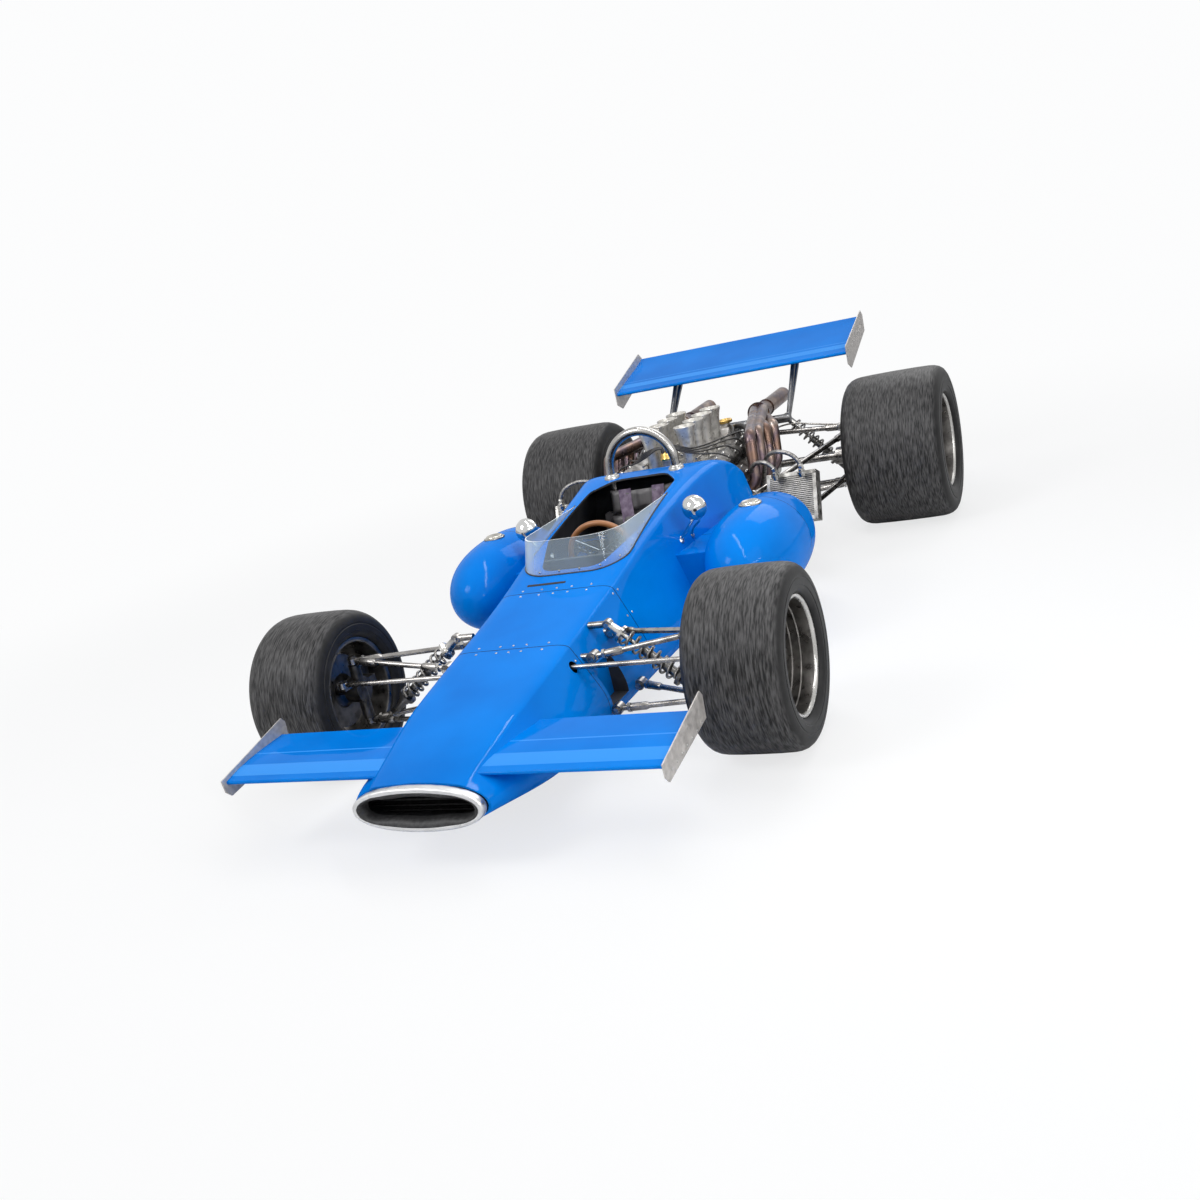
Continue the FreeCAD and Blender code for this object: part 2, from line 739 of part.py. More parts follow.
def make_side_tanks():
    """The egg shaped fuel tanks on the flanks, with a filler cap on top of each."""
    start = tub_end_y - size.tank_setback - size.tank_length
    profile = [V(0, along * size.tank_length, out * size.tank_radius) for along, out in TANK_PROFILE_SHARES]
    curve = Part.BSplineCurve()
    curve.interpolate(profile)
    edges = [Part.LineSegment(V(0, 0, 0), profile[0]).toShape(), curve.toShape(),
             Part.LineSegment(profile[-1], V(0, size.tank_length, 0)).toShape(),
             Part.LineSegment(V(0, size.tank_length, 0), V(0, 0, 0)).toShape()]
    egg = feature("tank_form", Part.Face(Part.Wire(edges)).revolve(V(0, 0, 0), Y, 360))
    egg.Placement.Base = V(size.tank_reach, start, size.tank_height)
    middle = start + size.tank_length / 2
    root = block("tank_root",
                 V(0, middle - size.tank_root_length / 2, size.tank_height - size.tank_root_height / 2),
                 (size.tank_reach, size.tank_root_length, size.tank_root_height))
    cap_foot = V(size.tank_reach, start + size.tank_length * size.filler_place_share, size.tank_height)
    cap_top = cap_foot + Z * (size.tank_radius + size.filler_height * 0.6)
    cap = rod("filler_cap", cap_foot, cap_top, "filler_radius")
    tank = without("tank_seated", joined("tank_whole", [egg, root]), hull_outside)
    pair("filler_caps", without("filler_cap_seated", cap, egg))
    pair("side_tanks", tank)


def wing_section(chord, thickness, rise):
    """A cambered wing section in the YZ plane with its leading edge at the origin."""
    nose = thickness * 0.2
    tail = thickness * 0.06
    upper = [V(0, nose, nose), V(0, chord * 0.3, thickness * 0.5 + rise * 0.18),
             V(0, chord * 0.68, thickness * 0.4 + rise * 0.55),
             V(0, chord, rise + tail)]
    lower = [V(0, chord, rise - tail), V(0, chord * 0.62, rise * 0.42 - thickness * 0.25),
             V(0, chord * 0.28, rise * 0.06 - thickness * 0.42), V(0, nose, -nose)]
    top = Part.BSplineCurve()
    top.interpolate(upper)
    bottom = Part.BSplineCurve()
    bottom.interpolate(lower)
    close = Part.LineSegment(upper[-1], lower[0])
    lead = Part.Arc(lower[-1], V(0, 0, 0), upper[0])
    return Part.Face(Part.Wire([top.toShape(), close.toShape(), bottom.toShape(), lead.toShape()]))


def wing(name, chord, thickness, rise, half_span):
    """Half a wing pushed out from the centre line by its bound half span."""
    section = feature(name + "_section", wing_section(chord, thickness, rise))
    half = doc.addObject("Part::Extrusion", name)
    half.Base = section
    half.DirMode = "Custom"
    half.Dir = X
    half.Solid = True
    half.setExpression("LengthFwd", bound(half_span))
    return half


def make_front_wings():
    """Nose wings either side of the cone, each with an end plate."""
    lead = V(0, nose_y + size.front_wing_place, size.front_wing_height)
    half = wing("front_wing_blade", size.front_wing_chord, size.front_wing_thickness, size.front_wing_rise,
                "front_wing_half_span")
    half.Placement.Base = lead
    pair("front_wings", without("front_wing_seated", half, hull_outside))
    body = doc.addObject("PartDesign::Body", "front_end_plate")
    sketch = outline(body, "YZ_Plane", "front_plate_outline",
                     [("-front_wing_chord * 0.06", "front_wing_thickness * 0.5"),
                      ("front_wing_chord * 1.06", "front_wing_thickness * 2.4"),
                      ("front_wing_chord * 1.11", "front_wing_thickness * 1.8"),
                      ("front_wing_chord * 1.09", "-front_wing_thickness * 0.4"),
                      ("front_wing_chord * 0.02", "-front_wing_thickness * 1.5"),
                      ("-front_wing_chord * 0.05", "-front_wing_thickness * 0.8")])
    padded(body, "front_plate_form", sketch, "front_plate_thickness")
    body.Placement.Base = lead + X * size.front_wing_half_span
    pair("front_end_plates", body)


def make_rear_wing():
    """The tall rear wing in one blade, its end plates and the struts that carry it."""
    lead = V(0, tail_y - size.rear_wing_chord, size.rear_wing_height)
    half = wing("rear_wing_blade", size.rear_wing_chord, size.rear_wing_thickness, size.rear_wing_rise,
                "rear_wing_half_span")
    half.Placement.Base = lead
    keep("rear_wing", joined("rear_wing", [half, mirrored("rear_wing_right_hand", half)]))
    body = doc.addObject("PartDesign::Body", "rear_end_plate")
    sketch = outline(body, "YZ_Plane", "rear_plate_outline",
                     [("-rear_wing_chord * 0.04", "rear_wing_thickness * 0.9"),
                      ("rear_wing_chord * 0.92", "rear_wing_rise + rear_wing_thickness * 0.9"),
                      ("rear_wing_chord", "rear_wing_rise + rear_wing_thickness * 0.2"),
                      ("rear_wing_chord", "rear_wing_rise - rear_wing_thickness * 1.9"),
                      ("rear_wing_chord * 0.1", "-rear_wing_thickness * 2.1"),
                      ("-rear_wing_chord * 0.04", "-rear_wing_thickness * 1.3")])
    padded(body, "rear_plate_form", sketch, "rear_plate_thickness")
    body.Placement.Base = lead + X * size.rear_wing_half_span
    pair("rear_end_plates", body)

    beam_end = V(size.strut_reach, rear_axle_y, size.crossbeam_height)
    legs = []
    for place, chord_share, rise_share in (("front", 0.3, 0.134), ("rear", 0.68, 0.54)):
        top = lead + V(size.strut_reach, chord_share * size.rear_wing_chord,
                       rise_share * size.rear_wing_rise)
        legs.append(rod(f"strut_{place}", beam_end, top, "strut_radius"))
    tool = joined("strut_seats", [nodes["rear_wing"], nodes["rear_crossbeam"]])
    pair("wing_struts", without("strut_seated", joined("strut_legs", legs), tool))


def make_engine():
    """The V8: block, heads with cam covers, inlet manifold with its trumpets, and the exhausts."""
    start = tub_end_y
    corner = "diagonal_share * deck_distance"
    half_deck = "diagonal_share * deck_width / 2"
    body = doc.addObject("PartDesign::Body", "engine_block")
    right = [("block_half_width * 0.7", "-sump_depth"), ("block_half_width", "-sump_depth * 0.45"),
             ("block_half_width", "crank_height * 0.12"),
             (f"{corner} + {half_deck}", f"{corner} - {half_deck}"),
             (f"{corner} - {half_deck}", f"{corner} + {half_deck}")]
    left = [(f"-({across})", up) for across, up in reversed(right)]
    sketch = outline(body, "XZ_Plane", "block_section", right + [("0", f"{corner}")] + left)
    padded(body, "block_form", sketch, "engine_length")
    body.Placement.Base = V(0, start + size.engine_length, size.crank_height)
    keep("engine_block", body)

    head = doc.addObject("PartDesign::Body", "cylinder_head")
    sketch = outline(head, "XZ_Plane", "head_section",
                     [("-deck_width / 2", "0"), ("deck_width / 2", "0"), ("deck_width / 2", "head_height"),
                      ("deck_width / 2 - cam_cover_width * 0.2", "head_height + cam_cover_height"),
                      ("deck_width / 2 - cam_cover_width", "head_height + cam_cover_height"),
                      ("deck_width / 2 - cam_cover_width * 1.15", "head_height"),
                      ("-deck_width / 2 + cam_cover_width * 1.15", "head_height"),
                      ("-deck_width / 2 + cam_cover_width", "head_height + cam_cover_height"),
                      ("-deck_width / 2 + cam_cover_width * 0.2", "head_height + cam_cover_height"),
                      ("-deck_width / 2", "head_height")])
    padded(head, "head_form", sketch, "head_length")
    reach = size.deck_distance * math.sqrt(0.5)
    head_end = start + (size.engine_length + size.head_length) / 2
    head.Placement = FreeCAD.Placement(V(reach, head_end, size.crank_height + reach),
                                       FreeCAD.Rotation(Y, 45))
    pair("cylinder_heads", head)


def make_trumpets():
    """The inlet manifold in the valley with two rows of four intake trumpets."""
    start = tub_end_y
    body = doc.addObject("PartDesign::Body", "inlet_manifold")
    diagonal = "diagonal_share * deck_distance"
    top = "manifold_height - crank_height"
    low_side = f"{diagonal} - diagonal_share * deck_width / 2 - running_gap"
    high_side = f"{top} - diagonal_share * deck_width - running_gap"
    sketch = outline(body, "XZ_Plane", "manifold_section",
                     [("0", f"{diagonal} + running_gap"),
                      (low_side, f"{diagonal} + diagonal_share * deck_width / 2"),
                      (high_side, top), (f"-({high_side})", top),
                      (f"-({low_side})", f"{diagonal} + diagonal_share * deck_width / 2")])
    padded(body, "manifold_form", sketch, "head_length")
    body.Placement.Base = V(0, start + (size.engine_length + size.head_length) / 2, size.crank_height)
    pieces = [body]
    wall = size.trumpet_wall
    mouth = size.trumpet_radius
    throat = size.trumpet_throat
    tall = size.trumpet_height
    first = start + size.engine_length / 2 - 1.5 * size.trumpet_pitch
    rim = [V(throat, 0, 0), V(throat, 0, tall * 0.55), V(throat + (mouth - throat) * 0.35, 0, tall * 0.85),
           V(mouth, 0, tall)]
    outer = Part.BSplineCurve()
    outer.interpolate(rim)
    inner_points = [V(point.x - wall, 0, point.z) for point in reversed(rim)]
    inner_curve = Part.BSplineCurve()
    inner_curve.interpolate(inner_points)
    section = Part.Wire([outer.toShape(), Part.LineSegment(rim[-1], inner_points[0]).toShape(),
                         inner_curve.toShape(),
                         Part.LineSegment(inner_points[-1], rim[0]).toShape()])
    form = Part.Face(section).revolve(V(0, 0, 0), Z, 360)
    for side in (1, -1):
        for number in range(4):
            trumpet = feature(f"trumpet_{number + 1}_{side}", form)
            trumpet.Placement.Base = V(side * size.trumpet_reach, first + number * size.trumpet_pitch,
                                       size.manifold_height)
            pieces.append(trumpet)
    keep("intake_trumpets", joined("intake_trumpets", pieces))


def bent_wire(points, bend):
    """Straight runs between points, joined by tangent arcs of one radius."""
    edges = []
    last = points[0]
    for before, point, after in zip(points, points[1:], points[2:]):
        inward = (before - point).normalize()
        outward = (after - point).normalize()
        turn = math.pi - inward.getAngle(outward)
        trim = bend * math.tan(turn / 2)
        start = point + inward * trim
        end = point + outward * trim
        centre_way = (inward + outward).normalize()
        middle = point + centre_way * (bend / math.cos(turn / 2) - bend)
        edges.append(Part.LineSegment(last, start).toShape())
        edges.append(Part.Arc(start, middle, end).toShape())
        last = end
    edges.append(Part.LineSegment(last, points[-1]).toShape())
    return Part.Wire(edges)


def pipe(points, bend, radius):
    """A round bar along a bent wire."""
    path = bent_wire(points, bend)
    profile = Part.Wire([Part.makeCircle(radius, points[0], points[1] - points[0])])
    return path.makePipeShell([profile], True, False)


def make_exhausts():
    """Four primaries a side that rise from the head and sweep back into one tailpipe."""
    start = tub_end_y
    slope = math.sqrt(0.5)
    deck = size.deck_distance + size.head_height * 0.5
    port_x = (deck + size.deck_width / 2) * slope
    port_z = size.crank_height + (deck - size.deck_width / 2) * slope
    first = start + size.engine_length / 2 - 1.5 * size.trumpet_pitch
    tail_z = size.crossbeam_height + size.crossbeam_radius + size.running_gap + size.tailpipe_radius
    collector = V(size.tailpipe_reach, rear_axle_y - size.tailpipe_radius, tail_z)
    pieces = []
    radius = size.exhaust_radius
    cover = size.deck_distance + size.head_height + size.cam_cover_height
    clear_x = (cover + size.deck_width / 2) * slope + radius
    for number in range(4):
        port = V(port_x - radius * 0.4, first + number * size.trumpet_pitch, port_z + radius * 0.4)
        knee = port + V(slope, 0, -slope) * size.exhaust_bend * 1.3
        side = V(clear_x, port.y + size.trumpet_pitch * 0.25, port.z + radius)
        top = V(clear_x - radius * 0.4, port.y + size.trumpet_pitch * 0.7,
                tail_z + radius * (0.7 - 0.45 * number))
        back = V(collector.x + radius * 0.8 * ((number % 2) * 2 - 1), collector.y - size.exhaust_bend * 0.6,
                 collector.z + radius * 0.8 * (1 - number // 2 * 2))
        points = [port, knee, side, top, back]
        pieces.append(feature(f"primary_{number + 1}", pipe(points, size.exhaust_bend * 0.7, radius)))
    mouth = V(collector.x, collector.y - size.exhaust_bend, tail_z)
    cone = doc.addObject("Part::Cone", "exhaust_collector")
    cone.setExpression("Radius1", bound("tailpipe_radius + exhaust_radius * 0.7"))
    cone.setExpression("Radius2", bound("tailpipe_radius"))
    cone.Height = size.exhaust_bend * 1.2
    cone.Placement = FreeCAD.Placement(mouth, FreeCAD.Rotation(Z, Y))
    tail_end = V(collector.x, tail_y - size.rear_wing_chord * 0.5, tail_z)
    ring = V(collector.x, rear_axle_y + 2 * size.crossbeam_radius, tail_z)
    pieces += [cone, rod("tailpipe", mouth, tail_end, "tailpipe_radius"),
               rod("tailpipe_clamp", ring, ring + Y * size.exhaust_radius / 2,
                   "tailpipe_radius + tailpipe_wall")]
    bore = rod("tailpipe_bore", tail_end - Y * size.exhaust_bend * 2, tail_end + Y * size.overrun,
               "tailpipe_radius - tailpipe_wall")
    seats = joined("exhaust_seats", [bore, nodes["cylinder_heads"]])
    pair("exhausts", without("exhaust_seated", joined("exhaust_run", pieces), seats))


def make_gearbox():
    """The gearbox behind the engine, with the final drive housing across the car."""
    start = tub_end_y + size.engine_length
    body = doc.addObject("PartDesign::Body", "gearbox_case")
    run = "(final_drive_place + gearbox_tail_reach)"
    corners = [("gearbox_half_width", "0"), ("gearbox_half_width * 0.8", f"{run} * 0.55"),
               ("gearbox_half_width * gearbox_tail_share", run)]
    sketch = outline(body, "XY_Plane", "gearbox_plan",
                     corners + [(f"-{across}", along) for across, along in reversed(corners)])
    pad = padded(body, "gearbox_form", sketch, "gearbox_top - gearbox_bottom")
    rounded(body, "gearbox_round", pad, "gearbox_half_width * 0.3",
            lambda edge: (abs(edge.tangentAt(edge.FirstParameter).z) < 0.1
                          and abs(edge.tangentAt(edge.FirstParameter).y) > 0.5))
    body.Placement.Base = V(0, start, size.gearbox_bottom)
    drive = rod("final_drive", V(-size.final_drive_reach, rear_axle_y, size.tyre_radius_rear),
                V(size.final_drive_reach, rear_axle_y, size.tyre_radius_rear), "final_drive_radius")
    keep("gearbox", joined("gearbox", [body, drive]))


def make_crossbeam():
    """The tube across the gearbox that carries the dampers' tops and the wing struts."""
    ends = [V(side * size.crossbeam_half_length, rear_axle_y, size.crossbeam_height) for side in (-1, 1)]
    beam = rod("crossbeam_tube", ends[0], ends[1], "crossbeam_radius")
    post_half = size.gearbox_half_width * 0.5
    post = block("crossbeam_post", V(-post_half, rear_axle_y - size.crossbeam_radius, size.gearbox_top),
                 (2 * post_half, 2 * size.crossbeam_radius, size.crossbeam_height - size.gearbox_top))
    keep("rear_crossbeam",
         without("rear_crossbeam", joined("crossbeam_whole", [beam, post]), nodes["gearbox"]))


def wheel_centre(axle, side):
    """The middle of a tyre."""
    if axle == "front":
        return V(side * size.track_front / 2, front_axle_y, size.tyre_radius_front)
    return V(side * size.track_rear / 2, rear_axle_y, size.tyre_radius_rear)


def outboard(centre, side):
    """A placement at a wheel that turns its own +X outwards."""
    return FreeCAD.Placement(centre, FreeCAD.Rotation(Z, 0 if side > 0 else 180))


def make_tyre(label, axle, side):
    """A wide slick tyre: a full turn of its section, with rounded shoulders."""
    radius = f"tyre_radius_{axle}"
    half = f"tyre_width_{axle} / 2"
    rim = f"rim_radius_{axle}"
    bead = f"rim_width_{axle} / 2 - flange_width"
    right = [(bead, f"{rim} + running_gap"), (bead, f"{rim} + flange_height + running_gap"),
             (half, f"{rim} + sidewall_rise"), (half, f"{radius} - tyre_shoulder"),
             (f"{half} - tyre_shoulder", radius)]
    left = [(f"-({across})", up) for across, up in reversed(right)]
    body = doc.addObject("PartDesign::Body", label)
    sketch = outline(body, "XZ_Plane", label + "_section", right + left)
    turn = turned(body, label + "_form", sketch)
    inner = getattr(size, rim) + size.flange_height + size.overrun
    rounded(body, label + "_round", turn, "tyre_shoulder_round",
            lambda edge: hasattr(edge.Curve, "Radius") and edge.Curve.Radius > inner)
    body.Placement = outboard(wheel_centre(axle, side), side)
    keep(label, body)


def rim_body(label, axle, side):
    """A wide rim with rolled flanges, a windowed centre and its hub nut."""
    rim = f"rim_radius_{axle}"
    edge = f"rim_width_{axle} / 2"
    web = f"web_offset_{axle}"
    bore = "spindle_radius + running_gap" if axle == "front" else "driveshaft_radius + running_gap"
    corners = [(f"-({edge})", f"{rim} + flange_height"),
               (f"-({edge}) + flange_width", f"{rim} + flange_height"),
               (f"-({edge}) + flange_width", rim), (f"{edge} - flange_width", rim),
               (f"{edge} - flange_width", f"{rim} + flange_height"), (edge, f"{rim} + flange_height"),
               (edge, f"{rim} - rim_wall"), (f"{web} + web_thickness * 1.4", f"{rim} - rim_wall"),
               (f"{web} + web_thickness", "hub_radius"), (f"{web} + hub_nut_length * 0.5", "hub_radius"),
               (f"{web} + hub_nut_length", "hub_nut_radius"), (f"{web} + hub_nut_length", bore),
               (f"{web} - web_thickness", bore), (f"{web} - web_thickness", "hub_radius"),
               (web, "hub_radius"), (web, f"{rim} - rim_wall"), (f"-({edge})", f"{rim} - rim_wall")]
    body = doc.addObject("PartDesign::Body", label)
    sketch = outline(body, "XZ_Plane", label + "_section", corners)
    turned(body, label + "_form", sketch)
    window = body.newObject("Sketcher::SketchObject", label + "_window")
    plane = [item for item in body.Origin.OriginFeatures if item.Role == "YZ_Plane"][0]
    window.AttachmentSupport = [(plane, "")]
    window.MapMode = "FlatFace"
    window.addGeometry(Part.Circle(V(0, 1, 0), Z, 1), False)
    window.addConstraint(Sketcher.Constraint("PointOnObject", 0, 3, -2))
    place = window.addConstraint(Sketcher.Constraint("DistanceY", -1, 1, 0, 3, 1))
    window.setExpression(f"Constraints[{place}]", bound(f"({rim} - rim_wall + hub_radius) / 2"))
    place = window.addConstraint(Sketcher.Constraint("Radius", 0, 1))
    window.setExpression(f"Constraints[{place}]", bound("web_window_radius"))
    pocket = body.newObject("PartDesign::Pocket", label + "_window_cut")
    pocket.Profile = window
    pocket.Type = "ThroughAll"
    pocket.Midplane = True
    ring = body.newObject("PartDesign::PolarPattern", label + "_windows")
    ring.Originals = [pocket]
    axis = [item for item in body.Origin.OriginFeatures if item.Role == "X_Axis"][0]
    ring.Axis = (axis, [""])
    ring.Angle = 360
    ring.Occurrences = 8
    body.Tip = ring
    body.Placement = outboard(wheel_centre(axle, side), side)
    return body


def make_front_rim(label, side):
    """A front rim with the brake disc and its bell that share the hub."""
    rim = rim_body(label + "_wheel", "front", side)
    kingpin_x = size.track_front / 2 - size.kingpin_inset
    body = doc.addObject("PartDesign::Body", label + "_disc")
    reach = "kingpin_inset - disc_standoff + web_offset_front - web_thickness"
    sketch = outline(body, "XZ_Plane", label + "_disc_section",
                     [("0", "disc_radius_front"), ("disc_thickness", "disc_radius_front"),
                      ("disc_thickness", "hub_radius"),
                      (reach, "hub_radius"), (reach, "spindle_radius + running_gap"),
                      ("0", "spindle_radius + running_gap")])
    turned(body, label + "_disc_form", sketch)
    body.Placement = outboard(V(side * (kingpin_x + size.disc_standoff), front_axle_y,
                                size.tyre_radius_front), side)
    keep(label, joined(label, [rim, body]))


def make_knuckle(label, side):
    """A front upright: kingpin, hub housing, spindle, steering arm and brake caliper in one casting."""
    centre = V(side * (size.track_front / 2 - size.kingpin_inset), front_axle_y, size.tyre_radius_front)
    out = X * side
    half_eye = size.eye_height / 2 + size.running_gap
    upper = centre + Z * size.ball_height_upper
    lower = centre - Z * size.ball_height_lower
    nut = size.kingpin_nut_height
    spindle_end = size.kingpin_inset + size.web_offset_front + size.hub_nut_length + size.web_thickness
    pieces = [
        rod(label + "_column", lower + Z * half_eye, upper - Z * (half_eye + size.link_radius * 0.3),
            "upright_column_radius"),
        rod(label + "_kingpin", lower - Z * (half_eye + nut), upper + Z * (half_eye + nut),
            "kingpin_radius - running_gap"),
        rod(label + "_top_nut", upper + Z * half_eye, upper + Z * (half_eye + nut), "kingpin_nut_radius"),
        rod(label + "_low_nut", lower - Z * (half_eye + nut), lower - Z * half_eye, "kingpin_nut_radius"),
        rod(label + "_housing", centre - out * size.upright_column_radius * 0.8,
            centre + out * size.hub_housing_length,
            "hub_housing_radius"),
        rod(label + "_spindle", centre, centre + out * spindle_end, "spindle_radius"),
    ]
    arm_top = rack_height - size.eye_height / 2 - size.running_gap * 4
    arm_low = arm_top - size.steering_arm_thickness
    arm_end = size.steering_arm_length + size.steering_pin_radius * 2
    arm_corner = centre - X * size.steering_arm_width / 2
    pieces.append(block(label + "_arm", V(arm_corner.x, centre.y - arm_end, arm_low),
                        (size.steering_arm_width, arm_end, size.steering_arm_thickness)))
    pin = V(centre.x, centre.y - size.steering_arm_length, arm_low)
    pieces.append(rod(label + "_arm_pin", pin, V(pin.x, pin.y, rack_height + size.eye_height / 2),
                      "steering_pin_radius"))

    caliper_in = size.disc_standoff + size.disc_thickness / 2 - size.caliper_thickness / 2
    inner_radius = size.disc_radius_front - size.caliper_depth * 0.72
    low_x = min(side * caliper_in, side * (caliper_in + size.caliper_thickness))
    pad = block(label + "_caliper",
                V(centre.x + low_x, centre.y + inner_radius, centre.z - size.caliper_length / 2),
                (size.caliper_thickness, size.caliper_depth, size.caliper_length))
    arm_low_x = min(0, side * (caliper_in + size.moving_gap))
    bracket = block(label + "_caliper_bracket",
                    V(centre.x + arm_low_x, centre.y, centre.z - size.upright_column_radius),
                    (caliper_in + size.moving_gap, inner_radius + size.moving_gap,
                     2 * size.upright_column_radius))
    whole = joined(label + "_casting", pieces + [pad, bracket])
    slot_radius = "disc_radius_front + moving_gap"
    slot_in = size.disc_standoff - size.moving_gap
    slot_out = size.disc_standoff + size.disc_thickness + size.moving_gap
    ring = rod(label + "_disc_room", centre + out * slot_in, centre + out * slot_out, slot_radius)
    core = rod(label + "_disc_room_core", centre + out * (slot_in - size.overrun),
               centre + out * (slot_out + size.overrun),
               "hub_housing_radius")
    keep(label, without(label, whole, without(label + "_disc_slot", ring, core)))


def make_rack():
    """The steering rack and its track rods, straight across the car ahead of the axle."""
    rack_y = front_axle_y - size.steering_arm_length
    kingpin_x = size.track_front / 2 - size.kingpin_inset
    pieces = [rod("rack_bar", V(-size.rack_length / 2, rack_y, rack_height),
                  V(size.rack_length / 2, rack_y, rack_height),
                  "rack_radius")]
    bores = []
    for side in (1, -1):
        eye = V(side * kingpin_x, rack_y, rack_height)
        pieces.append(rod(f"track_rod_{side}", V(0, rack_y, rack_height), eye, "track_rod_radius"))
        pieces.append(rod(f"track_rod_eye_{side}", eye - Z * size.eye_height / 2,
                          eye + Z * size.eye_height / 2,
                          "track_rod_eye_radius"))
        bores.append(rod(f"track_rod_bore_{side}", eye - Z * size.eye_height, eye + Z * size.eye_height,
                         "track_rod_eye_bore"))
    keep("steering_rack",
         without("steering_rack", joined("rack_whole", pieces), joined("rack_bores", bores)))


def make_steering_wheel():
    """A round wheel with three spokes on its column."""
    centre = column_head
    axis = (column_foot - centre).normalize()
    end = column_foot - axis * size.bearing_gap
    grip = doc.addObject("Part::Torus", "wheel_grip")
    grip.setExpression("Radius1", bound("steering_wheel_radius - steering_wheel_grip"))
    grip.setExpression("Radius2", bound("steering_wheel_grip"))
    turn = FreeCAD.Rotation(Z, axis * -1)
    grip.Placement = FreeCAD.Placement(centre, turn)
    boss = axis * size.column_radius
    pieces = [grip, rod("column", centre, end, "column_radius"),
              rod("wheel_boss", centre - boss, centre + boss * 3, "column_radius * 3")]
    reach = size.steering_wheel_radius - size.steering_wheel_grip
    for number in range(3):
        way = turn.multVec(V(math.cos(math.radians(90 + 120 * number)),
                             math.sin(math.radians(90 + 120 * number)), 0))
        pieces.append(rod(f"wheel_spoke_{number + 1}", centre, centre + way * reach, "column_radius * 0.7"))
    keep("steering_wheel", joined("steering_wheel", pieces))


def make_front_suspension():
    """Upper and lower wishbones with the eyes that the kingpins pass through, and the coil over dampers."""
    kingpin = V(size.track_front / 2 - size.kingpin_inset, front_axle_y, size.tyre_radius_front)
    arms = []
    upper = kingpin + Z * size.ball_height_upper
    lower = kingpin - Z * size.ball_height_lower
    pivots = {
        "upper": (upper, V(size.hull_half_width * 0.68, front_axle_y - size.eye_height,
                           size.waist_height + size.link_radius * 0.6),
                  V(size.hull_half_width * 0.67, front_axle_y + size.eye_height * 8,
                    size.waist_height + size.link_radius * 1.8)),
        "lower": (lower, V(size.hull_half_width * 0.79, front_axle_y - size.eye_height,
                           size.ground_clearance + size.eye_height * 3),
                  V(size.hull_half_width * 0.79, front_axle_y + size.eye_height * 9,
                    size.ground_clearance + size.eye_height * 3)),
    }
    for name, (outer, front, rear) in pivots.items():
        outer_eye = eye(f"{name}_eye", outer, size.eye_height / 2, "eye_radius")
        bore = rod(f"{name}_eye_bore", outer - Z * size.eye_height, outer + Z * size.eye_height,
                   "kingpin_radius")
        legs = []
        for place, pivot in (("front", front), ("rear", rear)):
            legs.append(rod(f"{name}_{place}_leg", pivot, outer, "link_radius * 0.75"))
            legs.append(eye(f"{name}_{place}_pivot", pivot, size.link_end_radius, "link_end_radius", Y))
            bracket = rod(f"{name}_{place}_bracket", V(pivot.x - size.link_end_radius * 4, pivot.y, pivot.z),
                          pivot, "link_radius")
            legs.append(bracket)
        whole = joined(f"{name}_wishbone", legs + [outer_eye])
        bored = without(f"{name}_wishbone_bored", whole, bore)
        arms.append(without(f"{name}_wishbone_seated", bored, hull_outside))
    both = doc.addObject("Part::Compound", "front_wishbone_set")
    both.Links = arms
    pair("front_wishbones", both)
    return pivots


def coil_over(name, bottom, top):
    """A damper with its spring: body, rod, two seats, and the coils as rings round a core."""
    axis = (top - bottom).normalize()
    length = (top - bottom).Length
    low_seat = bottom + axis * length * 0.26
    high_seat = bottom + axis * length * 0.84
    seat = size.spring_wire_radius * 2
    pieces = [rod(name + "_body", bottom, bottom + axis * length * 0.62, "damper_radius"),
              rod(name + "_rod", bottom, top, "damper_radius * 0.5"),
              rod(name + "_low_seat", low_seat - axis * seat, low_seat, "spring_radius"),
              rod(name + "_high_seat", high_seat, high_seat + axis * seat, "spring_radius"),
              eye(name + "_low_eye", bottom, size.damper_radius, "damper_radius", Y),
              eye(name + "_high_eye", top, size.damper_radius, "damper_radius", Y)]
    turns = int(size.spring_turns)
    pitch = (high_seat - low_seat).Length / turns
    wire = 2 * size.spring_wire_radius
    pieces.append(rod(name + "_core", low_seat, high_seat, "spring_radius - 2 * spring_wire_radius"))
    for number in range(turns):
        foot = low_seat + axis * (pitch * (number + 0.5) - wire / 2)
        pieces.append(rod(f"{name}_coil_{number + 1}", foot, foot + axis * wire, "spring_radius"))
    return joined(name, pieces)


def make_front_dampers(pivots):
    """Front coil overs from the hull's shoulder down to the lower wishbones."""
    outer, front, rear = pivots["lower"]
    bottom = outer + (rear - outer) * 0.2
    top = V(size.hull_half_width * 0.72, front_axle_y + size.eye_height * 5,
            size.waist_height + size.eye_height * 3.4)
    damper = coil_over("front_damper", bottom, top)
    bracket = rod("front_damper_bracket", V(size.hull_half_width * 0.4, top.y, top.z), top,
                  "damper_radius * 0.8")
    whole = joined("front_damper_whole", [damper, bracket])
    tool = joined("front_damper_seats", [hull_outside, nodes["front_wishbones"]])
    pair("front_dampers", without("front_damper_seated", whole, tool))


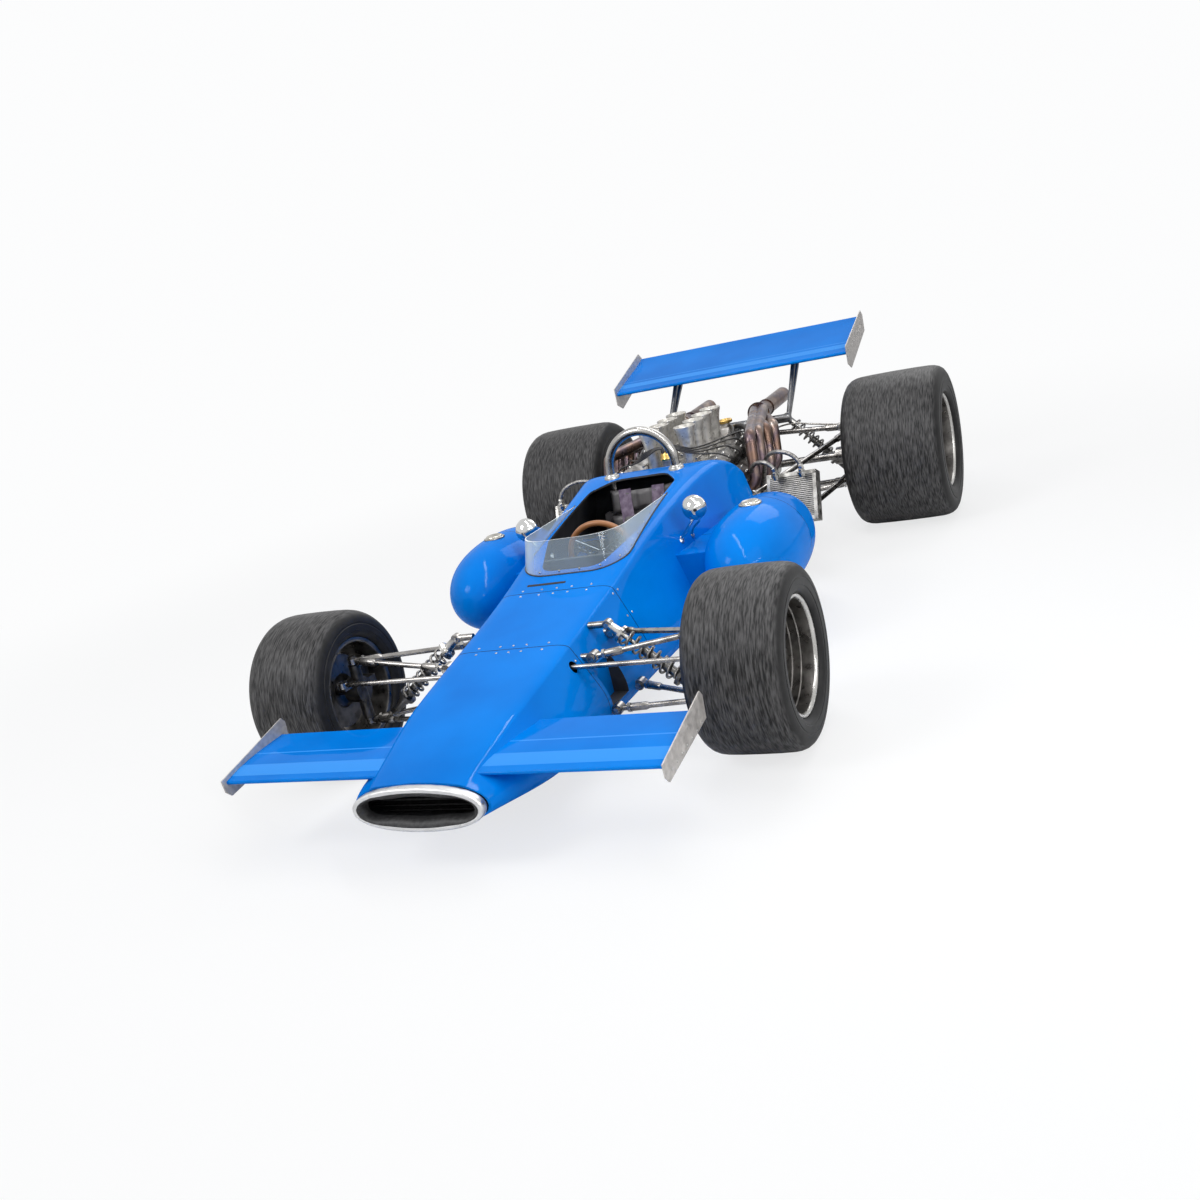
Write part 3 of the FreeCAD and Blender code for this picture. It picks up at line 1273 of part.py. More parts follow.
def make_rear_suspension():
    """Rear uprights, links and radius rods, coil overs and the driveshafts with their inboard discs."""
    axle = V(size.track_rear / 2, rear_axle_y, size.tyre_radius_rear)
    inner_x = axle.x - size.rear_upright_inner
    thick = size.rear_upright_thickness
    tall = size.rear_upright_height
    wide = size.rear_upright_width
    casting = block("rear_upright_web", V(inner_x, rear_axle_y - wide / 2, axle.z - tall / 2),
                    (thick, wide, tall))
    hub = rod("rear_upright_bearing", V(inner_x, rear_axle_y, axle.z),
              V(inner_x + thick + size.eye_height, rear_axle_y, axle.z),
              "bearing_radius")
    bore = rod("rear_upright_bore", V(inner_x - size.overrun, rear_axle_y, axle.z),
               V(inner_x + thick * 2, rear_axle_y, axle.z), "bearing_bore")
    upright = without("rear_upright", joined("rear_upright_whole", [casting, hub]), bore)
    pair("rear_uprights", upright)

    joint_x = inner_x - size.link_end_radius + size.running_gap
    top_z = axle.z + tall / 2 - size.link_end_radius
    low_z = axle.z - tall / 2 + size.link_end_radius
    box_x = size.gearbox_half_width * 0.8
    spread = wide / 2 - size.link_end_radius
    corner_x = size.hull_half_width * 0.78
    links = [
        link("upper_link",
             V(size.gearbox_half_width * 0.5, rear_axle_y, size.gearbox_top + size.link_end_radius * 3.6),
             V(joint_x, rear_axle_y + spread, top_z)),
        link("lower_link_rear", V(box_x, rear_axle_y + wide, size.gearbox_bottom + size.link_end_radius),
             V(joint_x, rear_axle_y + spread, low_z)),
        link("lower_link_front",
             V(box_x, rear_axle_y - wide * 1.6, size.gearbox_bottom + size.link_end_radius),
             V(joint_x, rear_axle_y - spread, low_z)),
        link("upper_radius_rod",
             V(size.hull_half_width * 0.86, tub_end_y, size.waist_height + size.eye_height * 3.5),
             V(joint_x, rear_axle_y - spread, top_z - size.link_end_radius)),
        link("lower_radius_rod", V(corner_x, tub_end_y, size.ground_clearance + size.eye_height * 3),
             V(joint_x, rear_axle_y - spread, low_z + size.link_end_radius * 2.4)),
    ]
    tool = joined("rear_link_seats",
                  [hull_outside, nodes["gearbox"], nodes["rear_uprights"], nodes["rear_crossbeam"]])
    pair("rear_links", without("rear_links_seated", joined("rear_link_set", links), tool))

    bottom = V(joint_x - size.spring_radius, rear_axle_y + wide, low_z + size.link_end_radius)
    top = V(size.crossbeam_half_length - size.spring_radius, rear_axle_y + size.crossbeam_radius * 2,
            size.crossbeam_height)
    bracket = rod("rear_damper_bracket", V(top.x, rear_axle_y, top.z), top, "damper_radius * 0.8")
    foot = rod("rear_damper_foot", V(bottom.x, rear_axle_y + spread, low_z), bottom, "damper_radius * 0.8")
    whole = joined("rear_damper_whole", [coil_over("rear_damper", bottom, top), bracket, foot])
    tool = joined("rear_damper_seats", [nodes["rear_links"], nodes["rear_crossbeam"]])
    pair("rear_dampers", without("rear_damper_seated", whole, tool))


def make_driveshaft(label, side):
    """A driveshaft from the final drive to the hub, with its joints and the inboard brake disc."""
    start = side * (size.final_drive_reach + size.running_gap)
    hub_x = side * (size.track_rear / 2 + size.web_offset_rear + size.hub_nut_length)
    wheel_joint = side * (size.track_rear / 2 - size.rear_upright_inner - size.moving_gap)
    line = [V(place, rear_axle_y, size.tyre_radius_rear) for place in
            (start, start + side * size.joint_boot_length, wheel_joint - side * size.joint_boot_length,
             wheel_joint, hub_x)]
    disc_start = start + side * (size.joint_boot_length - size.disc_thickness) / 2
    disc = V(disc_start, rear_axle_y, size.tyre_radius_rear)
    pieces = [rod(label + "_bar", line[0], line[4], "driveshaft_radius"),
              rod(label + "_inner_joint", line[0], line[1], "joint_boot_radius"),
              rod(label + "_outer_joint", line[2], line[3], "joint_boot_radius"),
              rod(label + "_disc", disc, disc + X * side * size.disc_thickness, "disc_radius_rear")]
    keep(label, joined(label, pieces))


def make_coolers():
    """Oil coolers behind the side tanks, leaning back, each on two arms from the hull's rear face."""
    middle = V(size.cooler_reach, tub_end_y + size.cooler_place, size.cooler_centre_height)
    core = doc.addObject("Part::Box", "cooler_core")
    core.setExpression("Length", bound("cooler_width"))
    core.setExpression("Width", bound("cooler_depth"))
    core.setExpression("Height", bound("cooler_height"))
    lean = FreeCAD.Rotation(X, -size.cooler_lean)
    half = V(size.cooler_width / 2, size.cooler_depth / 2, size.cooler_height / 2)
    core.Placement = FreeCAD.Placement(middle - lean.multVec(half), lean)
    arms = []
    for level, lift in (("low", -0.36), ("high", 0.04)):
        height = middle.z + lift * size.cooler_height
        arms.append(rod(f"cooler_arm_{level}",
                        V(size.hull_half_width * 0.6, tub_end_y - size.cooler_depth, height),
                        V(middle.x - size.cooler_width * 0.4, middle.y, height), "link_radius * 0.7"))
    pair("oil_coolers", without("cooler_seated", joined("cooler_whole", [core] + arms), hull_outside))


make_nose()
make_tub()
make_cowls()
make_windscreen()
make_seat()
make_dashboard()
make_hoop()
make_mirrors()
make_side_tanks()
make_front_wings()
make_engine()
make_trumpets()
make_exhausts()
make_gearbox()
make_crossbeam()
make_rear_wing()
make_rack()
make_steering_wheel()
wishbone_pivots = make_front_suspension()
make_front_dampers(wishbone_pivots)
make_rear_suspension()
make_coolers()
for hand, side in (("left", 1), ("right", -1)):
    make_knuckle(f"knuckle_{hand}", side)
    make_front_rim(f"rim_front_{hand}", side)
    keep(f"rim_rear_{hand}", rim_body(f"rim_rear_{hand}", "rear", side))
    make_driveshaft(f"driveshaft_{hand}", side)
    for axle in ("front", "rear"):
        make_tyre(f"tyre_{axle}_{hand}", axle, side)

doc.recompute()

faults = [f"{item.Label}: {item.State}" for item in doc.Objects if {"Invalid", "Error"} & set(item.State)]
for label, piece in nodes.items():
    if piece.Shape.isNull() or not piece.Shape.isValid():
        faults.append(f"{label}: no valid shape")
if faults:
    raise RuntimeError("; ".join(faults))

for label, piece in nodes.items():
    piece.Shape.exportStep(f"parts/{label}.step")
    box = piece.Shape.BoundBox
    print(f"{label}: solids {len(piece.Shape.Solids)}, volume {piece.Shape.Volume / 1e6:.2f} dm3, "
          f"z {box.ZMin:.1f} to {box.ZMax:.1f}")
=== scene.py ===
import json
import math

import bpy
from mathutils import Matrix, Vector


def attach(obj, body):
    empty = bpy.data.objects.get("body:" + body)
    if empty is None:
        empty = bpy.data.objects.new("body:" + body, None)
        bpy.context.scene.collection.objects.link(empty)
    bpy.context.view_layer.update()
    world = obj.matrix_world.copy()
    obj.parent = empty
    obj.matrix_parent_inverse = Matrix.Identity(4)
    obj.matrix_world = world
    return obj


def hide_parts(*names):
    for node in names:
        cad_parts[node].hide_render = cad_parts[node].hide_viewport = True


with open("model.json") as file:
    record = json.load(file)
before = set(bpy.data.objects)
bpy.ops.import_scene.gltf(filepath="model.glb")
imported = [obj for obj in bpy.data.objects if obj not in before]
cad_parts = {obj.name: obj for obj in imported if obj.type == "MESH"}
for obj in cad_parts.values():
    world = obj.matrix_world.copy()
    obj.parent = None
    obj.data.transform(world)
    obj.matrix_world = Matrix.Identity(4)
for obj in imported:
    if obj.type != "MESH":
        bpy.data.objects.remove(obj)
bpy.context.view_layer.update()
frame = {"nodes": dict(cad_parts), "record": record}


# Studio
# A plain pale floor that fades into a pale backdrop, with three soft lamps, two narrow ones that draw long
# highlights, and a camera that looks at the car from ahead, above and its left, and is rolled to the right.
def choose(*pieces):
    """Leave only these objects selected, the last of them active."""
    if bpy.context.mode != "OBJECT":
        bpy.ops.object.mode_set(mode="OBJECT")
    bpy.ops.object.select_all(action="DESELECT")
    for piece in pieces:
        piece.select_set(True)
        bpy.context.view_layer.objects.active = piece


def primitive(kind, name, **sizes):
    """Add one of Blender's primitives under a name."""
    choose()
    getattr(bpy.ops.mesh, f"primitive_{kind}_add")(**sizes)
    piece = bpy.context.object
    piece.name = name
    piece.data.name = name
    return piece


def fix_place():
    """Write the chosen piece's place, turn and scale into its mesh."""
    bpy.ops.object.transform_apply(location=True, rotation=True, scale=True)


def soften(crease):
    """Shade the chosen piece smoothly, apart from edges sharper than this many degrees."""
    bpy.ops.object.shade_smooth_by_angle(angle=math.radians(crease))


def shader_of(material):
    """The shader that holds a material's colour and polish."""
    return material.node_tree.nodes["Principled BSDF"]


def finish(name, colour, roughness, metallic=0.0, specular=0.5):
    """A new material with the values that are the same all over its surface."""
    material = bpy.data.materials.new(name)
    material.use_nodes = True
    shader = shader_of(material)
    shader.inputs["Base Color"].default_value = (*colour, 1)
    shader.inputs["Roughness"].default_value = roughness
    shader.inputs["Metallic"].default_value = metallic
    shader.inputs["Specular IOR Level"].default_value = specular
    return material


def maths(tree, operation, *values):
    """The output of a sum of numbers and other nodes' outputs."""
    node = tree.nodes.new("ShaderNodeMath")
    node.operation = operation
    for socket, value in zip(node.inputs, values):
        if isinstance(value, float):
            socket.default_value = value
        else:
            tree.links.new(value, socket)
    return node.outputs[0]


def limits(tree, pattern, **ends):
    """The output of a node that maps a pattern from one range of values to another."""
    spread = tree.nodes.new("ShaderNodeMapRange")
    for end, value in ends.items():
        spread.inputs[end.replace("_", " ").title()].default_value = value
    tree.links.new(pattern, spread.inputs["Value"])
    return spread


def blended(tree, share, first, second, target):
    """Feed a surface with two shaders, the second by this share."""
    blend = tree.nodes.new("ShaderNodeMixShader")
    for socket, output in zip(blend.inputs, (share, first.outputs[0], second.outputs[0])):
        tree.links.new(output, socket)
    tree.links.new(blend.outputs[0], tree.nodes[target].inputs["Surface"])


floor_size, lamp_target, sky = 80, Vector((0, 0, 0.3)), (0.975, 0.978, 0.982, 1)
floor = primitive("plane", "studio_floor", size=floor_size)
pale = finish("studio_floor", (0.86, 0.865, 0.87), 0.9, specular=0.1)
tree = pale.node_tree
glow = tree.nodes.new("ShaderNodeEmission")
glow.inputs["Color"].default_value = sky
away = tree.nodes.new("ShaderNodeVectorMath")
away.operation = "LENGTH"
tree.links.new(tree.nodes.new("ShaderNodeTexCoord").outputs["Object"], away.inputs[0])
fade = limits(tree, away.outputs["Value"], from_min=1.2, from_max=5.5, to_min=0.76)
fade.interpolation_type = "SMOOTHSTEP"
seen = tree.nodes.new("ShaderNodeLightPath").outputs["Is Camera Ray"]
share = maths(tree, "MULTIPLY", fade.outputs["Result"], seen)
blended(tree, share, shader_of(pale), glow, "Material Output")
floor.data.materials.append(pale)

world = bpy.data.worlds.new("studio")
bpy.context.scene.world = world
world.use_nodes = True
tree = world.node_tree
light = tree.nodes["Background"]
light.inputs["Color"].default_value = (0.98, 0.99, 1.0, 1)
light.inputs["Strength"].default_value = 0.34
backdrop = tree.nodes.new("ShaderNodeBackground")
backdrop.inputs["Color"].default_value = sky
path = tree.nodes.new("ShaderNodeLightPath")
seen = path.outputs["Is Camera Ray"]
for ray in ("Is Glossy Ray", "Is Transmission Ray"):
    seen = maths(tree, "MAXIMUM", seen, path.outputs[ray])
blended(tree, seen, light, backdrop, "World Output")

lamps = (("key", (-3.2, -4.2, 5.2), 2.4, 2.4, 190), ("fill", (5.0, -2.0, 4.0), 3.5, 3.5, 40),
         ("back", (1.0, 5.0, 4.5), 3.0, 3.0, 90), ("strip_top", (0.6, -0.6, 3.4), 0.22, 4.5, 60),
         ("strip_side", (3.6, -2.4, 1.9), 4.0, 0.22, 45))
for name, place, width, length, power in lamps:
    choose()
    bpy.ops.object.light_add(type="AREA", location=place)
    lamp = bpy.context.object
    lamp.name = f"lamp_{name}"
    lamp.data.shape = "RECTANGLE"
    lamp.data.size = width
    lamp.data.size_y = length
    lamp.data.energy = power
    lamp.rotation_euler = (lamp_target - Vector(place)).to_track_quat("-Z", "Y").to_euler()

azimuth, elevation, roll = math.radians(28.41), math.radians(19.25), math.radians(-14.09)
reach = math.cos(elevation)
ahead = Vector((-math.sin(azimuth) * reach, math.cos(azimuth) * reach, -math.sin(elevation)))
level = Vector((math.cos(azimuth), math.sin(azimuth), 0))
upright = level.cross(ahead)
across = level * math.cos(roll) + upright * math.sin(roll)
up = upright * math.cos(roll) - level * math.sin(roll)
choose()
bpy.ops.object.camera_add()
camera = bpy.context.object
turn = Matrix((across, up, -ahead)).transposed().to_4x4()
camera.matrix_world = Matrix.Translation((1.944, -4.407, 1.533)) @ turn
camera.data.sensor_width = 36
camera.data.lens = 37.5
camera.data.shift_x = 0.0215
camera.data.shift_y = 0.0745
bpy.context.scene.camera = camera
bpy.context.scene.view_settings.view_transform = "Standard"


# Monocoque and cowls
# Riveted and bonded sheet under gloss blue paint: the nose cone, scuttle panel, cockpit cowl and tub. The
# CAD shells are welded so that their curves shade softly, with dark seams between them, and their inward
# facing faces are painted near black as painted shade inside the hull.
def object_place(material):
    """The object's own coordinates in a material."""
    return material.node_tree.nodes.new("ShaderNodeTexCoord").outputs["Object"]


def speckle(material, scale, detail=3.0, stretch=(1, 1, 1)):
    """A noise pattern over the object's own coordinates, stretched along the axes."""
    tree = material.node_tree
    mapping = tree.nodes.new("ShaderNodeMapping")
    mapping.inputs["Scale"].default_value = stretch
    tree.links.new(object_place(material), mapping.inputs["Vector"])
    noise = tree.nodes.new("ShaderNodeTexNoise")
    noise.inputs["Scale"].default_value = scale
    noise.inputs["Detail"].default_value = detail
    tree.links.new(mapping.outputs[0], noise.inputs["Vector"])
    return noise.outputs["Fac"]


def shade_between(material, pattern, dark, light, low=0.35, high=0.65, socket="Base Color"):
    """Drive a colour or a value between two ends by a pattern."""
    tree = material.node_tree
    ramp = tree.nodes.new("ShaderNodeValToRGB")
    ramp.color_ramp.elements[0].position = low
    ramp.color_ramp.elements[1].position = high
    if isinstance(dark, (int, float)):
        dark, light = (dark, dark, dark), (light, light, light)
    ramp.color_ramp.elements[0].color = (*dark, 1)
    ramp.color_ramp.elements[1].color = (*light, 1)
    tree.links.new(pattern, ramp.inputs["Fac"])
    tree.links.new(ramp.outputs["Color"], shader_of(material).inputs[socket])
    return ramp.outputs["Color"]


def raise_by(material, pattern, strength, depth):
    """Bump the surface by a pattern."""
    tree = material.node_tree
    bump = tree.nodes.new("ShaderNodeBump")
    bump.inputs["Strength"].default_value = strength
    bump.inputs["Distance"].default_value = depth
    tree.links.new(pattern, bump.inputs["Height"])
    tree.links.new(bump.outputs["Normal"], shader_of(material).inputs["Normal"])


bodies = {node: body for body, held in frame["record"]["behaviour"]["bodies"].items() for node in held}


def settle(piece, *nodes):
    """Let a finished piece ride with the CAD nodes that it stands for, and hide those nodes."""
    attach(piece, bodies[nodes[0]])
    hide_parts(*nodes)


def copied(node, material, crease=30):
    """A copy of a CAD node with its loose triangles joined, shaded softly."""
    source = frame["nodes"][node]
    choose(source)
    bpy.ops.object.duplicate()
    piece = bpy.context.object
    piece.name = f"{node}_finished"
    piece.data.name = piece.name
    bpy.ops.object.mode_set(mode="EDIT")
    bpy.ops.mesh.select_all(action="SELECT")
    bpy.ops.mesh.remove_doubles(threshold=0.00005)
    bpy.ops.mesh.customdata_custom_splitnormals_clear()
    bpy.ops.object.mode_set(mode="OBJECT")
    soften(crease)
    piece.data.materials.clear()
    piece.data.materials.append(material)
    return piece


def welded(node, material, crease=30):
    """Such a copy that stands for its node."""
    piece = copied(node, material, crease)
    settle(piece, node)
    return piece


def mixed(material, share, first, second):
    """Drive a material's colour between a colour output and another, or a fixed colour, by a share."""
    tree = material.node_tree
    mix = tree.nodes.new("ShaderNodeMix")
    mix.data_type = "RGBA"
    tree.links.new(share, mix.inputs["Factor"])
    tree.links.new(first, mix.inputs["A"])
    if isinstance(second, tuple):
        mix.inputs["B"].default_value = (*second, 1)
    else:
        tree.links.new(second, mix.inputs["B"])
    tree.links.new(mix.outputs["Result"], shader_of(material).inputs["Base Color"])
    return mix.outputs["Result"]


def seams(material, colour, *places, width=0.0016, tone=(0.004, 0.01, 0.03)):
    """Give lines across the car at these places their own tone, dark as a seam where none is said."""
    tree = material.node_tree
    split = tree.nodes.new("ShaderNodeSeparateXYZ")
    tree.links.new(object_place(material), split.inputs[0])
    near = [maths(tree, "COMPARE", split.outputs["Y"], place, width) for place in places]
    total = near[0]
    for line in near[1:]:
        total = maths(tree, "MAXIMUM", total, line)
    return mixed(material, total, colour, tone)


def gloss_blue(name):
    """Gloss blue paint with the slight drift in colour and ripple of sprayed paint."""
    material = finish(name, (0.0, 0.22, 0.85), 0.28, specular=0.0)
    shader = shader_of(material)
    shader.inputs["Coat Weight"].default_value = 0.32
    shader.inputs["Coat Roughness"].default_value = 0.03
    shader.inputs["Coat IOR"].default_value = 1.3
    colour = shade_between(material, speckle(material, 3.0), (0.0, 0.158, 0.60), (0.0002, 0.194, 0.70))
    raise_by(material, speckle(material, 260.0, 2.0), 0.05, 0.0004)
    return material, colour


nose_tip, bulkhead, cabin_start = -1.87, -0.9, -1.5


def shade_painted_inside(piece, material):
    """Paint the faces that look towards the hull's own middle line near black, as painted shade inside the
    hull.
    """
    piece.data.materials.append(material)
    for face in piece.data.polygons:
        along = face.center.y
        middle = 0.33 if along > bulkhead else 0.20 + (along - nose_tip) * 0.134
        out = Vector((face.center.x, 0, face.center.z - middle))
        crosswise = abs(face.normal.y) > 0.9
        if (crosswise and along > cabin_start) or (not crosswise and face.normal.dot(out) < 0):
            face.material_index = len(piece.data.materials) - 1


body_paint, body_blue = gloss_blue("body_paint")
seams(body_paint, body_blue, -1.155, -0.775)
shells = {node: welded(node, body_paint) for node in ("nose_cone", "scuttle_panel", "cockpit_cowl", "tub")}
# The hull's inward facing faces, in the cabin and in the nose's duct, take a near black that is painted
# shade.
cabin_painted_shade = finish("cabin_painted_shade", (0.014, 0.014, 0.016), 0.6)
shade_between(cabin_painted_shade, speckle(cabin_painted_shade, 8.0, 4.0), (0.014, 0.014, 0.016), (0.05, 0.05, 0.055))
for shell in shells.values():
    shade_painted_inside(shell, cabin_painted_shade)


# Nose ring and radiator
# The corners of the nose's section are drawn in towards an oval. A satin aluminium ring with a rolled lip is
# fitted round its mouth, and behind it dark slats and the radiator's core close the duct.
def bright(name, colour, roughness, scale=40.0, stretch=(1, 1, 1), grime=0.6):
    """Bare or plated metal whose polish and colour vary from place to place."""
    material = finish(name, colour, roughness, 1.0)
    shade_between(material, speckle(material, scale, 4.0, stretch), roughness * 0.7, roughness * 1.5,
                  0.3, 0.7, "Roughness")
    dull = tuple(channel * grime for channel in colour)
    shade_between(material, speckle(material, scale * 0.7, 6.0, stretch), dull, colour, 0.32, 0.56)
    raise_by(material, speckle(material, scale * 8, 3.0, stretch), 0.06, 0.0003)
    return material


ring_metal = bright("ring_metal", (0.66, 0.66, 0.665), 0.34, grime=0.9)
nose_reach, oval_power = 0.42, 2.15


def rounded_nose(piece):
    """Draw the corners of the nose's section in towards an oval, most at the mouth."""
    for corner in piece.data.vertices:
        share = max(0.0, (corner.co.y - nose_tip) / nose_reach)
        if share >= 1:
            continue
        weight = 1 - share ** 2 * (3 - 2 * share)
        half, middle, tall = 0.2115 + 0.075 * share, 0.2005 + 0.024 * share, 0.0665 + 0.045 * share
        across, up = abs(corner.co.x) / half, abs(corner.co.z - middle) / tall
        if across + up < 0.01:
            continue
        box = (across ** 5 + up ** 5) ** 0.2
        oval = (across ** oval_power + up ** oval_power) ** (1 / oval_power)
        scale = 1 + weight * (box / oval - 1)
        corner.co.x *= scale
        corner.co.z = middle + (corner.co.z - middle) * scale


def joined(name, pieces):
    """Several objects made one, each part keeping its material."""
    choose(*pieces)
    bpy.ops.object.join()
    piece = bpy.context.object
    piece.name = name
    piece.data.name = name
    return piece


def face_outwards(weld=0.0, fill=0):
    """Turn the active mesh's faces outwards, after close corners are joined or holes filled if asked."""
    bpy.ops.object.mode_set(mode="EDIT")
    bpy.ops.mesh.select_all(action="SELECT")
    if weld:
        bpy.ops.mesh.remove_doubles(threshold=weld)
    if fill:
        bpy.ops.mesh.fill_holes(sides=fill)
    bpy.ops.mesh.normals_make_consistent(inside=False)
    bpy.ops.object.mode_set(mode="OBJECT")


rounded_nose(shells["nose_cone"])
core_black = finish("core_black", (0.012, 0.012, 0.013), 0.55)
shade_between(core_black, speckle(core_black, 90.0), (0.006, 0.006, 0.007), (0.03, 0.03, 0.032))
backing = copied("nose_ring", core_black, 40)
rounded_nose(backing)
tube_share = 0.1
ring_half, ring_tall, ring_along, ring_height = 0.2045, 0.0590, -1.8535, 0.2005
roll_thick, roll_deep = 0.0095, 0.0162
lip_roll = primitive("torus", "nose_lip", major_segments=128, minor_segments=20, major_radius=1,
                     minor_radius=tube_share)
for corner in lip_roll.data.vertices:
    angle = math.atan2(corner.co.y, corner.co.x)
    flat, side = math.cos(angle), math.sin(angle)
    grow = (abs(flat) ** oval_power + abs(side) ** oval_power) ** (-1 / oval_power)
    across, up = ring_half * grow * flat, ring_tall * grow * side
    steep = oval_power - 1
    out = Vector((math.copysign(abs(across / ring_half) ** steep, flat) / ring_half,
                  math.copysign(abs(up / ring_tall) ** steep, side) / ring_tall))
    swell = (math.hypot(corner.co.x, corner.co.y) - 1) / tube_share
    out = out.normalized() * math.copysign(min(abs(swell), 1) ** 0.45, swell) * roll_thick
    along = ring_along + corner.co.z / tube_share * roll_deep
    corner.co = (across + out.x, along, ring_height + up + out.y)
choose(lip_roll)
face_outwards()
bpy.ops.object.shade_smooth()
lip_roll.data.materials.append(ring_metal)
settle(joined("nose_ring_finished", [lip_roll, backing]), "nose_ring")
rounded_nose(welded("radiator", core_black, 30))

# Windscreen
# A wrapped sheet of clear plastic, blown to shape and screwed to the cowl through its lower edge. The flat
# faces along its top edge are painted pale grey as a painted highlight, and a black strip runs along its
# foot.
clear = finish("clear_sheet", (0.80, 0.90, 0.96), 0.04, specular=1.0)
raise_by(clear, speckle(clear, 14.0, 2.0), 0.04, 0.0005)
tree = clear.node_tree
through = tree.nodes.new("ShaderNodeBsdfTransparent")
through.inputs["Color"].default_value = (0.86, 0.93, 0.97, 1)
facing = tree.nodes.new("ShaderNodeLayerWeight")
facing.inputs["Blend"].default_value = 0.35
share = limits(tree, facing.outputs["Facing"], to_min=0.10, to_max=0.75)
blended(tree, share.outputs["Result"], through, shader_of(clear), "Material Output")
screen = welded("windscreen", clear, 40)
# The flat faces along the screen's top edge take a pale grey that is a painted highlight.
painted_edge_highlight = finish("sheet_edge_painted_highlight", (0.75, 0.8, 0.83), 0.3)
shade_between(painted_edge_highlight, speckle(painted_edge_highlight, 60.0), (0.55, 0.6, 0.64), (0.85, 0.9, 0.92))
screen.data.materials.append(painted_edge_highlight)
edge_from = 0.46
for face in screen.data.polygons:
    if abs(face.normal.z) > 0.75 and face.center.z > edge_from:
        face.material_index = 1


def tube(name, points, radius, material, sides=8):
    """A round tube or lead that follows a smooth path through the air between these points."""
    choose()
    bpy.ops.curve.primitive_nurbs_path_add()
    piece = bpy.context.object
    path = piece.data.splines[0]
    # A new path has five points, and a shorter one repeats its last.
    path.points.add(max(0, len(points) - 5))
    for number, point in enumerate(path.points):
        point.co = (*points[min(number, len(points) - 1)], 1)
    path.order_u = 3
    path.use_endpoint_u = True
    piece.data.bevel_depth = radius
    piece.data.bevel_resolution = sides // 4
    piece.data.resolution_u = 6
    piece.data.use_fill_caps = True
    bpy.ops.object.convert(target="MESH")
    piece = bpy.context.object
    piece.name = name
    piece.data.name = name
    face_outwards(weld=0.00001)
    soften(50)
    piece.data.materials.clear()
    piece.data.materials.append(material)
    return piece


def carried(piece, body):
    """Let a piece that has no CAD node of its own ride on a body."""
    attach(piece, body)
    return piece


def cowl_height(x, y):
    """The height of the painted cowl at a place."""
    return shells["cockpit_cowl"].ray_cast((x, y, 1.2), (0, 0, -1))[1].z


screen_low, screen_tall, screen_lean, screen_rake = 0.33, 0.28, 0.036, 0.070


def screen_foot(share):
    """A point where the screen's outer face meets the cowl, from its left rear end round to its right."""
    half, front, back, turn = 0.226, -0.700, -0.085, 0.120
    height = 0.45
    for attempt in range(5):
        rise = (height - screen_low) / screen_tall
        wide, ahead = half - screen_lean * rise, front + screen_rake * rise
        side, nose, arc = back - ahead - turn, 2 * (wide - turn), math.pi / 2 * turn
        run = share * (2 * side + 2 * arc + nose)
        if run < side:
            x, y = wide, back - run
        elif run < side + arc:
            angle = (run - side) / turn
            x, y = wide - turn + turn * math.cos(angle), ahead + turn - turn * math.sin(angle)
        elif run < side + arc + nose:
            x, y = wide - turn - (run - side - arc), ahead
        elif run < side + 2 * arc + nose:
            angle = (run - side - arc - nose) / turn
            x, y = -wide + turn - turn * math.sin(angle), ahead + turn - turn * math.cos(angle)
        else:
            x, y = -wide, ahead + turn + run - side - 2 * arc - nose
        height = cowl_height(x, y)
    return Vector((x, y, height))


def twin(piece, name, move=(0, 0, 0), mirror=False):
    """A copy of a piece with its own mesh, moved, or mirrored across the car's centre line."""
    choose(piece)
    bpy.ops.object.duplicate()
    other = bpy.context.object
    other.name = name
    other.data.name = name
    if mirror:
        other.scale.x = -1
    other.location = move
    fix_place()
    if mirror:
        face_outwards()
    return other


trim_black = finish("trim_black", (0.015, 0.015, 0.016), 0.5)
raise_by(trim_black, speckle(trim_black, 400.0), 0.2, 0.0003)
screw_metal = bright("screw_metal", (0.45, 0.45, 0.44), 0.3)
nut_metal = bright("nut_metal", (0.5, 0.49, 0.47), 0.22)
steps = 56
feet = [screen_foot(number / steps) for number in range(steps + 1)]
strip = tube("screen_strip", [foot + Vector((0, 0, 0.001)) for foot in feet], 0.003, trim_black)
carried(strip, "chassis")


# Fasteners and vent
# Domed screws hold the screen and the body panels along their edges, and a small rounded slot in the cowl
# ahead of the screen lets air in. The slot is a near black block, painted shade of the opening.
def dome_rivets(name, places, radius, material):
    """Domed rivet heads, one at each place with its outward direction, all in one piece."""
    first = primitive("uv_sphere", name, segments=10, ring_count=6, radius=radius)
    first.scale.z = 0.5
    bpy.ops.object.transform_apply(location=False, rotation=False, scale=True)
    bpy.ops.object.shade_smooth()
    first.data.materials.append(material)
    heads = []
    for number, (place, way) in enumerate(places):
        head = twin(first, f"{name}_{number}")
        head.rotation_mode = "QUATERNION"
        head.rotation_quaternion = Vector(way).to_track_quat("Z", "Y")
        head.location = place
        fix_place()
        heads.append(head)
    bpy.data.objects.remove(first)
    return joined(name, heads)


places = []
for number in range(2, steps - 1, 3):
    along = feet[number + 1] - feet[number - 1]
    outwards = Vector((-along.y, along.x, 0)).normalized()
    if outwards.dot(Vector((feet[number].x, feet[number].y + 0.3, 0))) < 0:
        outwards = -outwards
    places.append((feet[number] + Vector((0, 0, 0.013)) - outwards * 0.002, outwards))
carried(dome_rivets("screen_screws", places, 0.0042, screw_metal), "chassis")


def skin_at(shell, place, way):
    """Where a line that starts outside meets a painted shell, and which way its skin faces there."""
    return shells[shell].ray_cast(Vector(place) - Vector(way) * 1.5, way)[1:3]


